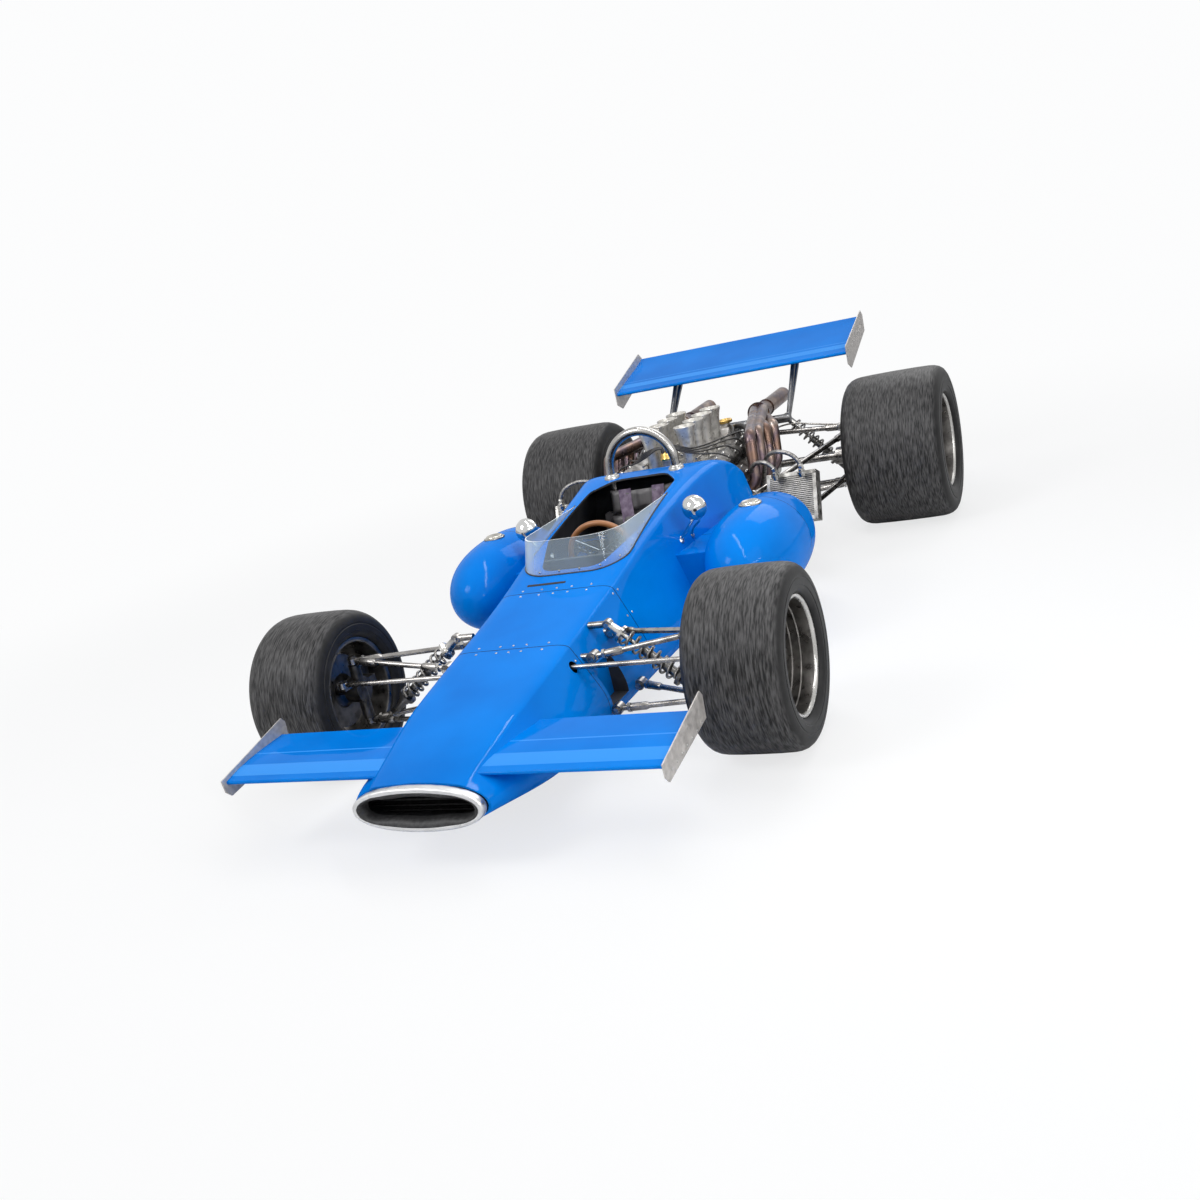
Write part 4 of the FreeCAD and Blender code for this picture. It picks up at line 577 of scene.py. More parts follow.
places = []
for shell, along, count in (("scuttle_panel", -1.135, 7), ("scuttle_panel", -0.793, 9),
                            ("cockpit_cowl", -0.757, 9), ("nose_cone", -1.175, 7)):
    for number in range(count):
        slant = math.pi * (0.06 + 0.88 * number / (count - 1))
        way = Vector((-math.cos(slant), 0, -math.sin(slant)))
        point, normal = skin_at(shell, (0, along, 0.30), way)
        if point is not None and point.length:
            places.append((point + normal * 0.0004, normal))
carried(dome_rivets("panel_fasteners", places, 0.0042, screw_metal), "chassis")


def slab(name, size, **place):
    """A block of this size whose middle is the object's own."""
    piece = primitive("cube", name, size=1, **place)
    bpy.ops.object.mode_set(mode="EDIT")
    bpy.ops.transform.resize(value=size)
    bpy.ops.object.mode_set(mode="OBJECT")
    return piece


def block_at(name, material, size, place, turn=(0, 0, 0)):
    """A block of one material that is turned and put at a place."""
    piece = primitive("cube", name, size=1)
    piece.scale = size
    piece.rotation_euler = turn
    piece.location = place
    fix_place()
    piece.data.materials.append(material)
    return piece


# Near black stands in for the shade inside hollows: the vent slot, the trumpets' bores and the catch tank's
# mouth are painted shade.
hollow_painted_shade = finish("hollow_painted_shade", (0.005, 0.005, 0.006), 0.7)
raise_by(hollow_painted_shade, speckle(hollow_painted_shade, 300.0), 0.2, 0.0003)
# The vent slot is a near black block set into the skin, painted shade of its opening.
vent = slab("scuttle_vent", (0.150, 0.014, 0.008))
bevel = vent.modifiers.new("round", "BEVEL")
bevel.width = 0.0065
bevel.segments = 4
bevel.limit_method = "ANGLE"
bpy.ops.object.modifier_apply(modifier="round")
point, normal = skin_at("cockpit_cowl", (-0.055, -0.722, 0.3), (0, 0, -1))
vent.rotation_mode = "QUATERNION"
vent.rotation_quaternion = normal.to_track_quat("Z", "Y")
vent.location = point - normal * 0.0015
fix_place()
soften(40)
vent.data.materials.append(hollow_painted_shade)
carried(vent, "chassis")


def turned(name, material, profile, centre, axis, steps=96, closed=True):
    """Spin a profile of (along, out) points about an axis through a centre, as on a lathe."""
    axis = Vector(axis).normalized()
    outwards = Vector((0, 0, 1)) if abs(axis.z) < 0.9 else Vector((1, 0, 0))
    outwards = (outwards - axis * outwards.dot(axis)).normalized()
    points = [Vector(centre) + axis * along + outwards * out for along, out in profile]
    piece = primitive("plane", name, size=0.001)
    bpy.ops.object.mode_set(mode="EDIT")
    bpy.ops.mesh.merge(type="CENTER")
    bpy.ops.transform.translate(value=points[0])
    for before, point in zip(points, points[1:]):
        bpy.ops.mesh.extrude_vertices_move(TRANSFORM_OT_translate={"value": point - before})
    if closed:
        bpy.ops.mesh.select_all(action="DESELECT")
        bpy.ops.object.mode_set(mode="OBJECT")
        piece.data.vertices[0].select = True
        piece.data.vertices[len(points) - 1].select = True
        bpy.ops.object.mode_set(mode="EDIT")
        bpy.ops.mesh.edge_face_add()
    bpy.ops.mesh.select_all(action="SELECT")
    bpy.ops.mesh.spin(steps=steps, angle=math.tau, center=centre, axis=axis)
    face_outwards(weld=0.00002)
    soften(35)
    piece.data.materials.append(material)
    return piece


def millimetres(points):
    """A profile given in millimetres, in metres."""
    return [(along / 1000, out / 1000) for along, out in points]


# Seat, belts and dashboard
# The driver lies on quilted pads of black leather in a moulded seat, under webbing belts with a steel buckle
# and behind a satin black panel with three round gauges in bright bezels.
leather = finish("seat_leather", (0.02, 0.02, 0.022), 0.46)
raise_by(leather, speckle(leather, 220.0, 4.0), 0.3, 0.0006)
shade_between(leather, speckle(leather, 9.0), (0.035, 0.033, 0.036), (0.105, 0.10, 0.105))
bucket = copied("seat", leather, 40)
most_swell, channel_depth, cell, frames = 0.010, 0.008, 0.006, 20


def cushion(name, size, place, tilt, channels):
    """A pad blown up by a cloth simulation from a flat block, with channels pressed in along it."""
    pad = slab(name, size)
    remesh = pad.modifiers.new("cells", "REMESH")
    remesh.mode = "VOXEL"
    remesh.voxel_size = cell
    bpy.ops.object.modifier_apply(modifier="cells")
    before = [corner.co.copy() for corner in pad.data.vertices]
    blown = pad.modifiers.new("blown", "CLOTH")
    blown.settings.use_pressure = True
    blown.settings.uniform_pressure_force = 4.0
    blown.settings.effector_weights.gravity = 0.0
    blown.point_cache.frame_start = 1
    blown.point_cache.frame_end = frames
    for step in range(1, frames + 1):
        bpy.context.scene.frame_set(step)
    choose(pad)
    bpy.ops.object.modifier_apply(modifier="blown")
    bpy.context.scene.frame_set(1)
    for corner, start in zip(pad.data.vertices, before):
        moved = corner.co - start
        if moved.length > most_swell:
            corner.co = start + moved.normalized() * most_swell
    half = size[0] / 2
    for corner in pad.data.vertices:
        if corner.co.z > 0:
            wave = abs(math.cos(math.pi * channels * (corner.co.x + half) / size[0]))
            edge = min(1.0, max(0.0, (size[1] / 2 - abs(corner.co.y)) / 0.02))
            corner.co.z -= channel_depth * wave ** 6 * edge
    pad.rotation_euler = (tilt, 0, 0)
    pad.location = place
    choose(pad)
    fix_place()
    bpy.ops.object.shade_smooth()
    pad.data.materials.append(leather)
    return pad


settle(bucket, "seat")
for pad in (cushion("seat_back_pad", (0.300, 0.270, 0.026), (0, 0.086, 0.350), math.radians(74), 5),
            cushion("seat_base_pad", (0.300, 0.170, 0.024), (0, -0.050, 0.208), math.radians(-5), 5),
            cushion("seat_head_pad", (0.290, 0.098, 0.024), (0, 0.147, 0.522), math.radians(78), 5)):
    carried(pad, "chassis")


def strap(name, points, width, thickness, material, across=(1, 0, 0)):
    """Flat webbing that follows points, of one width and thickness."""
    across = Vector(across).normalized()
    run = primitive("plane", name, size=0.001)
    bpy.ops.object.mode_set(mode="EDIT")
    bpy.ops.mesh.merge(type="CENTER")
    start = Vector(points[0]) - across * width / 2
    bpy.ops.transform.translate(value=start)
    last = Vector(points[0])
    for point in points[1:]:
        bpy.ops.mesh.extrude_vertices_move(TRANSFORM_OT_translate={"value": Vector(point) - last})
        last = Vector(point)
    bpy.ops.mesh.select_all(action="SELECT")
    bpy.ops.mesh.extrude_edges_move(TRANSFORM_OT_translate={"value": across * width})
    bpy.ops.object.mode_set(mode="OBJECT")
    thick = run.modifiers.new("thick", "SOLIDIFY")
    thick.thickness = thickness
    thick.offset = 0
    bpy.ops.object.modifier_apply(modifier="thick")
    face_outwards()
    soften(40)
    run.data.materials.append(material)
    return run


webbing = finish("belt_webbing", (0.13, 0.1, 0.15), 0.85)
shade_between(webbing, speckle(webbing, 40.0, 4.0), (0.10, 0.07, 0.12), (0.24, 0.19, 0.26))
raise_by(webbing, speckle(webbing, 600.0, 2.0, (1, 0.15, 0.15)), 0.5, 0.0006)
buckle_steel = bright("buckle_steel", (0.5, 0.49, 0.47), 0.25)
belt_path = ((0.146, 0.572), (0.131, 0.530), (0.117, 0.478), (0.090, 0.420), (0.056, 0.335), (0.020, 0.262),
             (-0.012, 0.236))
runs = []
for side in (-1, 1):
    bend = []
    for number, (along, up) in enumerate(belt_path):
        apart = 0.072 - 0.046 * (number / (len(belt_path) - 1)) ** 2
        bend.append(Vector((side * apart, along - 0.006, up)))
    runs.append(strap(f"shoulder_belt_{side}", bend, 0.052, 0.0035, webbing))
    slide = primitive("torus", f"belt_slide_{side}", major_segments=4, minor_segments=8, major_radius=0.034,
                      minor_radius=0.0035, rotation=(0, 0, math.radians(45)))
    bpy.ops.object.transform_apply(location=False, rotation=True, scale=False)
    slide.scale = (1, 0.6, 1)
    slide.rotation_euler = (math.radians(62), 0, 0)
    slide.location = (side * 0.060, 0.060, 0.374)
    fix_place()
    slide.data.materials.append(buckle_steel)
    runs.append(slide)
settle(joined("harness_finished", runs), "harness")
lap = []
for side in (-1, 1):
    route = ((side * 0.172, 0.020, 0.20), (side * 0.150, -0.010, 0.228), (side * 0.09, -0.022, 0.240),
             (side * 0.02, -0.026, 0.243))
    lap.append(strap(f"lap_belt_{side}", route, 0.046, 0.0035, webbing, (0, 0.94, -0.34)))
outline = ((0, 0), (0, 0.030), (0.004, 0.034), (0.010, 0.034), (0.014, 0.030), (0.014, 0.012),
           (0.018, 0.010), (0.018, 0))
buckle = turned("belt_buckle", buckle_steel, outline, (0, -0.026, 0.244), (0, -0.25, 0.97), 32, closed=False)
carried(joined("lap_belts", lap + [buckle]), "chassis")
panel_black = finish("panel_black", (0.02, 0.02, 0.021), 0.42)
raise_by(panel_black, speckle(panel_black, 500.0, 2.0), 0.15, 0.0003)
welded("dashboard", panel_black, 35)
dial_black = finish("dial_black", (0.01, 0.01, 0.011), 0.25)
shade_between(dial_black, speckle(dial_black, 60.0), (0.006, 0.006, 0.006), (0.02, 0.02, 0.02))
dial_white = finish("dial_white", (0.75, 0.74, 0.7), 0.5)
shade_between(dial_white, speckle(dial_white, 80.0), (0.6, 0.59, 0.55), (0.8, 0.79, 0.76))
dials = []
panel_face = -0.514
gauges = (("left", 0.0644, 0.4572, 0.028), ("middle", 0, 0.4712, 0.0168), ("right", -0.0644, 0.4572, 0.028))
for name, across, height, radius in gauges:
    middle = (across, panel_face, height)
    outline = ((-0.004, radius - 0.006), (-0.004, radius + 0.001), (0.004, radius + 0.001),
               (0.006, radius - 0.002), (0.005, radius - 0.005), (0.001, radius - 0.006))
    dials.append(turned(f"{name}_bezel", buckle_steel, outline, middle, (0, 1, 0), 40))
    outline = ((-0.002, 0), (-0.002, radius - 0.005), (0.0015, radius - 0.005), (0.0015, 0))
    dials.append(turned(f"{name}_dial", dial_black, outline, middle, (0, 1, 0), 40, closed=False))
    for mark in range(11):
        angle = math.radians(-135 + 27 * mark)
        out = radius * 0.62
        place = (across + math.sin(angle) * out, -0.5122, height + math.cos(angle) * out)
        dials.append(block_at(f"{name}_mark_{mark}", dial_white, (0.0012, 0.0006, radius * 0.22), place,
                              (0, angle, 0)))
    place = (across - radius * 0.22, -0.5116, height + radius * 0.12)
    turn = (0, math.radians(-60), 0)
    dials.append(block_at(f"{name}_needle", dial_white, (0.0015, 0.0008, radius * 0.7), place, turn))
carried(joined("gauges", dials), "chassis")

# Roll hoop and mirrors
# One bent steel tube, plated and polished, stands behind the driver in two metal collars on the cowl. The
# round mirrors are spun domes with a rolled bezel, on short stalks and thin stays with feet on the cowl.
hoop_steel = bright("hoop_steel", (0.40, 0.39, 0.375), 0.2, 12.0, grime=0.82)
welded("roll_hoop", hoop_steel, 40)
collars = []
for side in (-1, 1):
    point = skin_at("cockpit_cowl", (side * 0.163, 0.198, 0.3), (0, 0, -1))[0]
    outline = millimetres(((-16, 18.2), (-16, 31), (2, 31), (5, 29), (6.5, 25), (12, 22.5), (13, 20.5),
                           (12, 18.2)))
    place = (side * 0.140, 0.198, point.z + 0.004)
    collars.append(turned(f"hoop_collar_{side}", screw_metal, outline, place, (0, 0, 1), 40))
carried(joined("hoop_collars", collars), "chassis")
mirror_chrome = bright("mirror_chrome", (0.6, 0.6, 0.59), 0.09, 9.0, grime=0.93)
head, foot = Vector((0.345, -0.225, 0.548)), Vector((0.270, -0.237, 0.435))
outline = millimetres(((1.5, 0), (1.5, 40), (-1, 41), (-1.5, 43.5), (0.5, 45.4), (4, 46), (9, 46),
                       (10.5, 44.6), (12, 44.4), (20, 43), (29, 38.8), (37, 32), (44, 23), (49, 13),
                       (51.4, 5), (52, 0)))
dome = turned("mirror_dome", mirror_chrome, outline, head, (0, -1, 0), 64, closed=False)
stalk_way = (head + Vector((0, -0.026, -0.03)) - foot).normalized()
outline = ((-0.012, 0), (-0.012, 0.0065), (0.06, 0.0058), (0.115, 0.0058), (0.125, 0))
stalk = turned("mirror_stalk", mirror_chrome, outline, foot, stalk_way, 20, closed=False)
outline = millimetres(((-8, 0), (-8, 15), (2, 15), (5, 12.5), (8, 8.5), (13, 7.5), (13, 0)))
base = turned("mirror_foot", screw_metal, outline, foot, (0.62, -0.12, 0.78), 32, closed=False)
point, normal = skin_at("cockpit_cowl", (0, -0.150, 0.425), (-1, 0, 0))
route = [head + Vector((0.012, -0.018, -0.036)), head + Vector((0.008, 0.010, -0.055)),
         point.lerp(head, 0.3), point - normal * 0.004]
stay = tube("mirror_stay", route, 0.0048, mirror_chrome)
outline = millimetres(((-4, 0), (-4, 11), (2, 11), (4, 8), (4, 0)))
pad = turned("mirror_stay_foot", screw_metal, outline, point, normal, 20, closed=False)
mirror = joined("mirror_left", [dome, stalk, base, stay, pad])
settle(mirror, "mirrors")
settle(twin(mirror, "mirror_right", mirror=True), "mirrors")

# Side tanks
# Two egg shaped aluminium fuel tanks, painted with the body, with a seam round their middle and a plated
# filler cap let into the top of each.
tank_paint, tank_blue = gloss_blue("tank_paint")
seams(tank_paint, tank_blue, -0.085)
welded("side_tanks", tank_paint, 40)
cap_metal = bright("cap_metal", (0.5, 0.48, 0.43), 0.25)
cap_place, knurls = Vector((0.532, -0.168, 0.516)), 36
outline = millimetres(((-8, 34), (0, 42), (6, 42), (7.5, 40), (8.5, 34), (12, 33), (14, 31), (14.6, 28),
                       (13, 25), (13, 12), (11, 6), (11, 0)))
cap = turned("filler_cap_left", cap_metal, outline, cap_place, (0, 0, 1), 72, closed=False)
for corner in cap.data.vertices:
    out = Vector((corner.co.x - cap_place.x, corner.co.y - cap_place.y, 0))
    notch = round(math.atan2(out.y, out.x) / math.tau * knurls * 2) % 2
    if notch and 0.0395 < out.length:
        corner.co -= out.normalized() * 0.0022
choose(cap)
face_outwards(fill=80)
settle(cap, "filler_caps")
settle(twin(cap, "filler_cap_right", mirror=True), "filler_caps")

# Wings
# The nose wings and the rear wing are blue painted blades of aluminium sheet over ribs. Their end plates are
# bare alloy, riveted on, and the rear one stands on two dark tube struts a side.
wing_paint, wing_blue = gloss_blue("wing_paint")
# The paler bands and thin lines across the wings near their leading edges are painted highlights: light
# along the creases painted into the blue.
painted_highlight_tone = (0.035, 0.27, 0.78)
painted_highlight_band = seams(wing_paint, wing_blue, -1.722, width=0.030, tone=painted_highlight_tone)
seams(wing_paint, painted_highlight_band, -1.622, width=0.0035, tone=painted_highlight_tone)
nose_wings = welded("front_wings", wing_paint, 40)
wing_root, root_reach = 0.29, 0.045
for corner in nose_wings.data.vertices:
    if abs(corner.co.x) < wing_root:
        corner.co.x -= math.copysign(root_reach, corner.co.x)
rear_paint, rear_blue = gloss_blue("rear_wing_paint")
# The rear wing's paler band and line near its leading edge are painted highlights too.
painted_highlight_band = seams(rear_paint, rear_blue, 1.522, width=0.022, tone=painted_highlight_tone)
seams(rear_paint, painted_highlight_band, 1.568, width=0.003, tone=painted_highlight_tone)
welded("rear_wing", rear_paint, 40)
plate_alloy = bright("plate_alloy", (0.5, 0.49, 0.48), 0.42, 25.0, (1, 1, 3))
shader_of(plate_alloy).inputs["Metallic"].default_value = 0.55
shade_between(plate_alloy, speckle(plate_alloy, 60.0, 5.0), (0.43, 0.41, 0.395), (0.56, 0.535, 0.515))
for node in ("front_end_plates", "rear_end_plates"):
    welded(node, plate_alloy, 30)
rivets, places = 7, []
for number in range(rivets):
    share = (number + 0.5) / rivets
    for side in (-1, 1):
        front_place = Vector((side * 0.7245, -1.770 + 0.300 * share, 0.240 + 0.012 * share))
        rear_place = Vector((side * 0.5845, 1.455 + 0.390 * share, 0.775 + 0.075 * share))
        places += [(front_place, Vector((side, 0, 0))), (rear_place, Vector((side, 0, 0)))]
carried(dome_rivets("plate_rivets", places, 0.0045, screw_metal), "chassis")
dark_tube = bright("dark_tube", (0.2, 0.2, 0.205), 0.35)
welded("wing_struts", dark_tube, 35)
welded("rear_crossbeam", dark_tube, 35)

# Engine and gearbox
# A V8 in cast alloy with darker heads and eight bright intake trumpets, and the gearbox that carries the
# rear suspension.
cast = finish("cast_alloy", (0.33, 0.33, 0.335), 0.5, 0.85)
shade_between(cast, speckle(cast, 30.0, 6.0), (0.19, 0.19, 0.195), (0.36, 0.36, 0.37))
raise_by(cast, speckle(cast, 420.0, 3.0), 0.35, 0.0008)
block, gearbox = [welded(node, cast, 30) for node in ("engine_block", "gearbox")]
head_metal = bright("head_metal", (0.27, 0.26, 0.25), 0.36, 50.0, grime=0.35)
welded("cylinder_heads", head_metal, 30)
trumpet_metal = bright("trumpet_metal", (0.62, 0.60, 0.56), 0.34, 60.0)
shader_of(trumpet_metal).inputs["Metallic"].default_value = 0.6
first_port, port_step, crank_height, slope = 0.533, 0.118, 0.272, 0.7071
trumpet_foot = (0.080, first_port, 0.530)
manifold = copied("intake_trumpets", cast, 35)
bpy.ops.object.mode_set(mode="EDIT")
bpy.ops.mesh.select_all(action="SELECT")
bpy.ops.mesh.bisect(plane_co=(0, 0, 0.5297), plane_no=(0, 0, 1), clear_outer=True, use_fill=True)
bpy.ops.object.mode_set(mode="OBJECT")
outline = millimetres(((-3, 0), (-3, 37), (4, 37), (5, 33), (9, 30.5), (12, 30.5), (13, 32), (19, 32),
                       (20, 30), (60, 28.5), (96, 29.5), (124, 32), (148, 36), (164, 40), (176, 44),
                       (182, 45.6), (185.5, 45.8), (187, 44.6), (186.5, 43), (182, 41.6), (164, 37),
                       (148, 33), (124, 29), (96, 26.5), (60, 25.5), (34, 25.5), (34, 0)))
trumpet = turned("intake_trumpet", trumpet_metal, outline, trumpet_foot, (0, 0, 1), 48, closed=False)
# Each trumpet's throttle plate sits down its bore in near black, painted shade of the bore's depth.
outline = millimetres(((34.5, 0), (34.5, 25.4), (37, 25.4), (37, 0)))
throttle = turned("throttle_plate", hollow_painted_shade, outline, trumpet_foot, (0, 0, 1), 24, closed=False)
trumpets = [joined("trumpet_left_0", [throttle, trumpet])]
for number in range(1, 4):
    trumpets.append(twin(trumpets[0], f"trumpet_left_{number}", move=(0, port_step * number, 0)))
trumpets += [twin(part, part.name.replace("left", "right"), mirror=True) for part in trumpets[:4]]
settle(joined("intake_finished", trumpets + [manifold]), "intake_trumpets")


# Engine fittings
# Exhaust flanges with studs, plug boots and leads, injectors with fuel lines, throttle levers and the nuts
# of the head cover stand along the left bank. The whole set is mirrored to the right bank.
def bank(across, up, along):
    """A place on the left bank of the V: across and up its own slant, and along the engine."""
    return Vector(((across + up) * slope, along, crank_height + (up - across) * slope))


lead_rubber = finish("lead_rubber", (0.02, 0.018, 0.018), 0.45)
raise_by(lead_rubber, speckle(lead_rubber, 300.0), 0.2, 0.0003)
line_steel = bright("line_steel", (0.42, 0.4, 0.37), 0.28, 90.0, grime=0.4)
gold = bright("cap_gold", (0.75, 0.5, 0.16), 0.28, 60.0)
ports = [first_port + port_step * number for number in range(4)]
dress = []
for number, along in enumerate(ports):
    outline = millimetres(((0, 24), (0, 37), (2, 39), (7, 39), (9, 37), (9, 25)))
    dress.append(turned(f"exhaust_flange_{number}", cast, outline, bank(0.075, 0.269, along), (1, 0, -1),
                        32))
    for way in (-1, 1):
        outline = millimetres(((-1, 0), (-1, 7), (8, 7), (8, 4), (17, 4), (17, 0)))
        dress.append(turned(f"flange_stud_{number}_{way}", nut_metal, outline,
                            bank(0.084, 0.269, along + 0.031 * way), (1, 0, -1), 6, closed=False))
    outline = millimetres(((-22, 0), (-22, 12), (-6, 12), (-4, 8), (14, 7), (18, 5), (20, 0)))
    dress.append(turned(f"plug_boot_{number}", lead_rubber, outline, bank(0, 0.342, along), (1, 0, 1), 20,
                        closed=False))
    lift = 0.0075 * number
    route = [bank(0, 0.356, along), bank(-0.004, 0.388, along - 0.012),
             bank(-0.050, 0.384 + lift * 0.3, along - 0.035), bank(-0.078, 0.378 + lift, along - 0.055),
             Vector((0.150 - lift, 0.475, 0.600 + lift)), Vector((0.080, 0.452, 0.625 + lift)),
             Vector((0.028, 0.462 + lift, 0.655)), Vector((0.017, 0.470 + lift, 0.646))]
    dress.append(tube(f"plug_lead_{number}", route, 0.0036, lead_rubber))
    outline = millimetres(((-2, 0), (-2, 6), (10, 6), (10, 8.5), (17, 8.5), (17, 5), (27, 4), (27, 0)))
    dress.append(turned(f"injector_{number}", gold if number % 2 else nut_metal, outline,
                        (0.0545, along, 0.592), (-1, 0, 0.8), 12, closed=False))
    out, up = 0.016 - 0.002 * number, 0.004 * number
    route = [Vector((0.036, along, 0.608)), Vector((0.024, along + 0.012, 0.622)),
             Vector((out, along + 0.05, 0.615 + up)), Vector((out, 0.900, 0.605 + up)),
             Vector((0.010, 0.935, 0.590))]
    dress.append(tube(f"fuel_line_{number}", route, 0.0026, line_steel))
    place = (0.1155, along + 0.006, 0.566)
    dress.append(block_at(f"throttle_lever_{number}", line_steel, (0.004, 0.012, 0.034), place,
                          (math.radians(25), 0, 0)))
for number in range(6):
    for across in (-0.062, -0.034, 0.034, 0.062):
        outline = millimetres(((-3, 0), (-3, 8), (1, 8), (1, 6), (5, 5.4), (8, 3), (8.6, 0)))
        dress.append(turned(f"cover_nut_{number}_{across}", nut_metal, outline,
                            bank(across, 0.362, 0.470 + 0.096 * number), (1, 0, 1), 10, closed=False))
route = [Vector((0.121, along, 0.580)) for along in (0.490, 0.620, 0.760, 0.945)]
shaft = tube("throttle_shaft", route, 0.0042, line_steel)
route = [Vector((0.137, 0.955, 0.575)), Vector((0.137, 0.985, 0.590)), Vector((0.120, 1.010, 0.600)),
         Vector((0.100, 1.030, 0.600))]
rail = tube("breather_rail", route, 0.009, lead_rubber)
side_dress = joined("engine_dress_left", dress + [shaft, rail])
carried(side_dress, "chassis")
carried(twin(side_dress, "engine_dress_right", mirror=True), "chassis")

# Hoses, pumps and bolts
# Braided and rubber hoses with plated nuts, pipes, small pumps on necks, ribs on the gearbox, and the bolts
# of the drive flange and of the gearbox's tail. They too are mirrored to the right.
plumbing = []


def hose(name, radius, material, *points):
    """A hose or cable with a nut at both ends, kept with the engine bay's other plumbing."""
    points = [Vector(point) for point in points]
    plumbing.append(tube(name, points, radius, material, 12))
    for number, (start, after) in enumerate(((points[0], points[1]), (points[-1], points[-2]))):
        outline = ((-0.004, 0), (-0.004, radius + 0.003), (0.014, radius + 0.003), (0.018, radius),
                   (0.018, 0))
        plumbing.append(turned(f"{name}_nut_{number}", nut_metal, outline, start, after - start, 6,
                               closed=False))


def beside(piece, along, height):
    """How far out a casting reaches on its left side at a place."""
    hit, point = piece.ray_cast((1.5, along, height), (-1, 0, 0))[:2]
    return point.x if hit else 0.1


braided = bright("braided_hose", (0.3, 0.29, 0.28), 0.4, 140.0, grime=0.3)
hose("oil_hose_out", 0.009, braided, (0.437, 0.505, 0.475), (0.425, 0.500, 0.520), (0.330, 0.530, 0.520),
     (0.305, 0.600, 0.400), (0.262, 0.600, 0.300))
hose("oil_hose_back", 0.009, braided, (0.547, 0.505, 0.475), (0.540, 0.500, 0.540), (0.400, 0.540, 0.560),
     (0.345, 0.640, 0.420), (0.285, 0.700, 0.290), (0.262, 0.710, 0.262))
hose("breather_hose", 0.011, lead_rubber, (0.205, 0.960, 0.545), (0.200, 0.985, 0.590),
     (0.150, 1.020, 0.600), (0.122, 1.036, 0.585))
hose("loom_low", 0.006, lead_rubber, (0.215, 0.425, 0.470), (0.235, 0.520, 0.395), (0.240, 0.760, 0.385),
     (0.230, 0.960, 0.400), (0.150, 1.060, 0.435), (0.120, 1.120, 0.438))
hose("clutch_line", 0.005, line_steel, (0.200, 0.425, 0.360), (0.262, 0.520, 0.350), (0.262, 0.820, 0.330),
     (0.200, 0.990, 0.330), (0.140, 1.050, 0.330))
hose("brake_pipe", 0.004, line_steel, (0.120, 1.130, 0.440), (0.130, 1.200, 0.470), (0.200, 1.300, 0.500),
     (0.300, 1.318, 0.520), (0.420, 1.330, 0.490), (0.545, 1.330, 0.470))
hose("selector_rod", 0.0075, line_steel, (0.165, 0.425, 0.300), (0.225, 0.700, 0.300), (0.175, 1.000, 0.320),
     (0.125, 1.250, 0.350), (0.118, 1.420, 0.350))
pumps = ((0.545, 0.255, 0.040, 0.100, gold), (0.680, 0.250, 0.034, 0.080, cast),
         (0.810, 0.235, 0.040, 0.095, head_metal), (0.905, 0.290, 0.028, 0.060, cast))
for along, height, radius, long, material in pumps:
    reach = beside(block, along, height)
    outline = ((0, 0), (0, radius * 0.8), (0.006, radius), (long - 0.012, radius), (long, radius * 0.75),
               (long, radius * 0.4), (long + 0.012, radius * 0.4), (long + 0.012, 0))
    body = turned(f"pump_{along}", material, outline, (reach + radius * 0.9, along - long / 2, height),
                  (0, 1, 0), 28, closed=False)
    outline = ((-0.06, 0), (-0.06, radius * 0.55), (radius * 0.9, radius * 0.55), (radius * 0.9, 0))
    neck = turned(f"pump_neck_{along}", cast, outline, (reach, along, height), (1, 0, 0), 20, closed=False)
    plumbing += [body, neck]
flange_face, drive_along, drive_height, bolt_circle = 0.1425, 1.310, 0.335, 0.072
for number in range(6):
    along = 1.060 + 0.075 * number
    # No rib stands where the drive flange does.
    if abs(along - drive_along) < 0.11:
        continue
    reach = beside(gearbox, along, 0.300)
    place = (reach - 0.004, along, 0.300)
    plumbing.append(block_at(f"gearbox_rib_{number}", cast, (0.024, 0.008, 0.150), place))
for number in range(10):
    angle = math.tau * number / 10
    place = (flange_face, drive_along + bolt_circle * math.cos(angle),
             drive_height + bolt_circle * math.sin(angle))
    outline = millimetres(((-4, 0), (-4, 8), (5, 8), (6, 6), (6, 0)))
    plumbing.append(turned(f"drive_bolt_{number}", nut_metal, outline, place, (1, 0, 0), 6, closed=False))
tail_half, tail_along, tail_low, tail_high = 0.062, 1.609, 0.186, 0.419
for number in range(5):
    height = tail_low + (tail_high - tail_low) * number / 4
    for across in (0.022, tail_half) if number in (0, 4) else (tail_half,):
        outline = millimetres(((-2, 0), (-2, 8.5), (1.5, 8.5), (1.5, 6), (6, 6), (7, 5), (7, 0)))
        plumbing.append(turned(f"tail_bolt_{number}_{across}", nut_metal, outline,
                               (across, tail_along, height), (0, 1, 0), 6, closed=False))
bay = joined("plumbing_left", plumbing)
carried(bay, "chassis")
carried(twin(bay, "plumbing_right", mirror=True), "chassis")

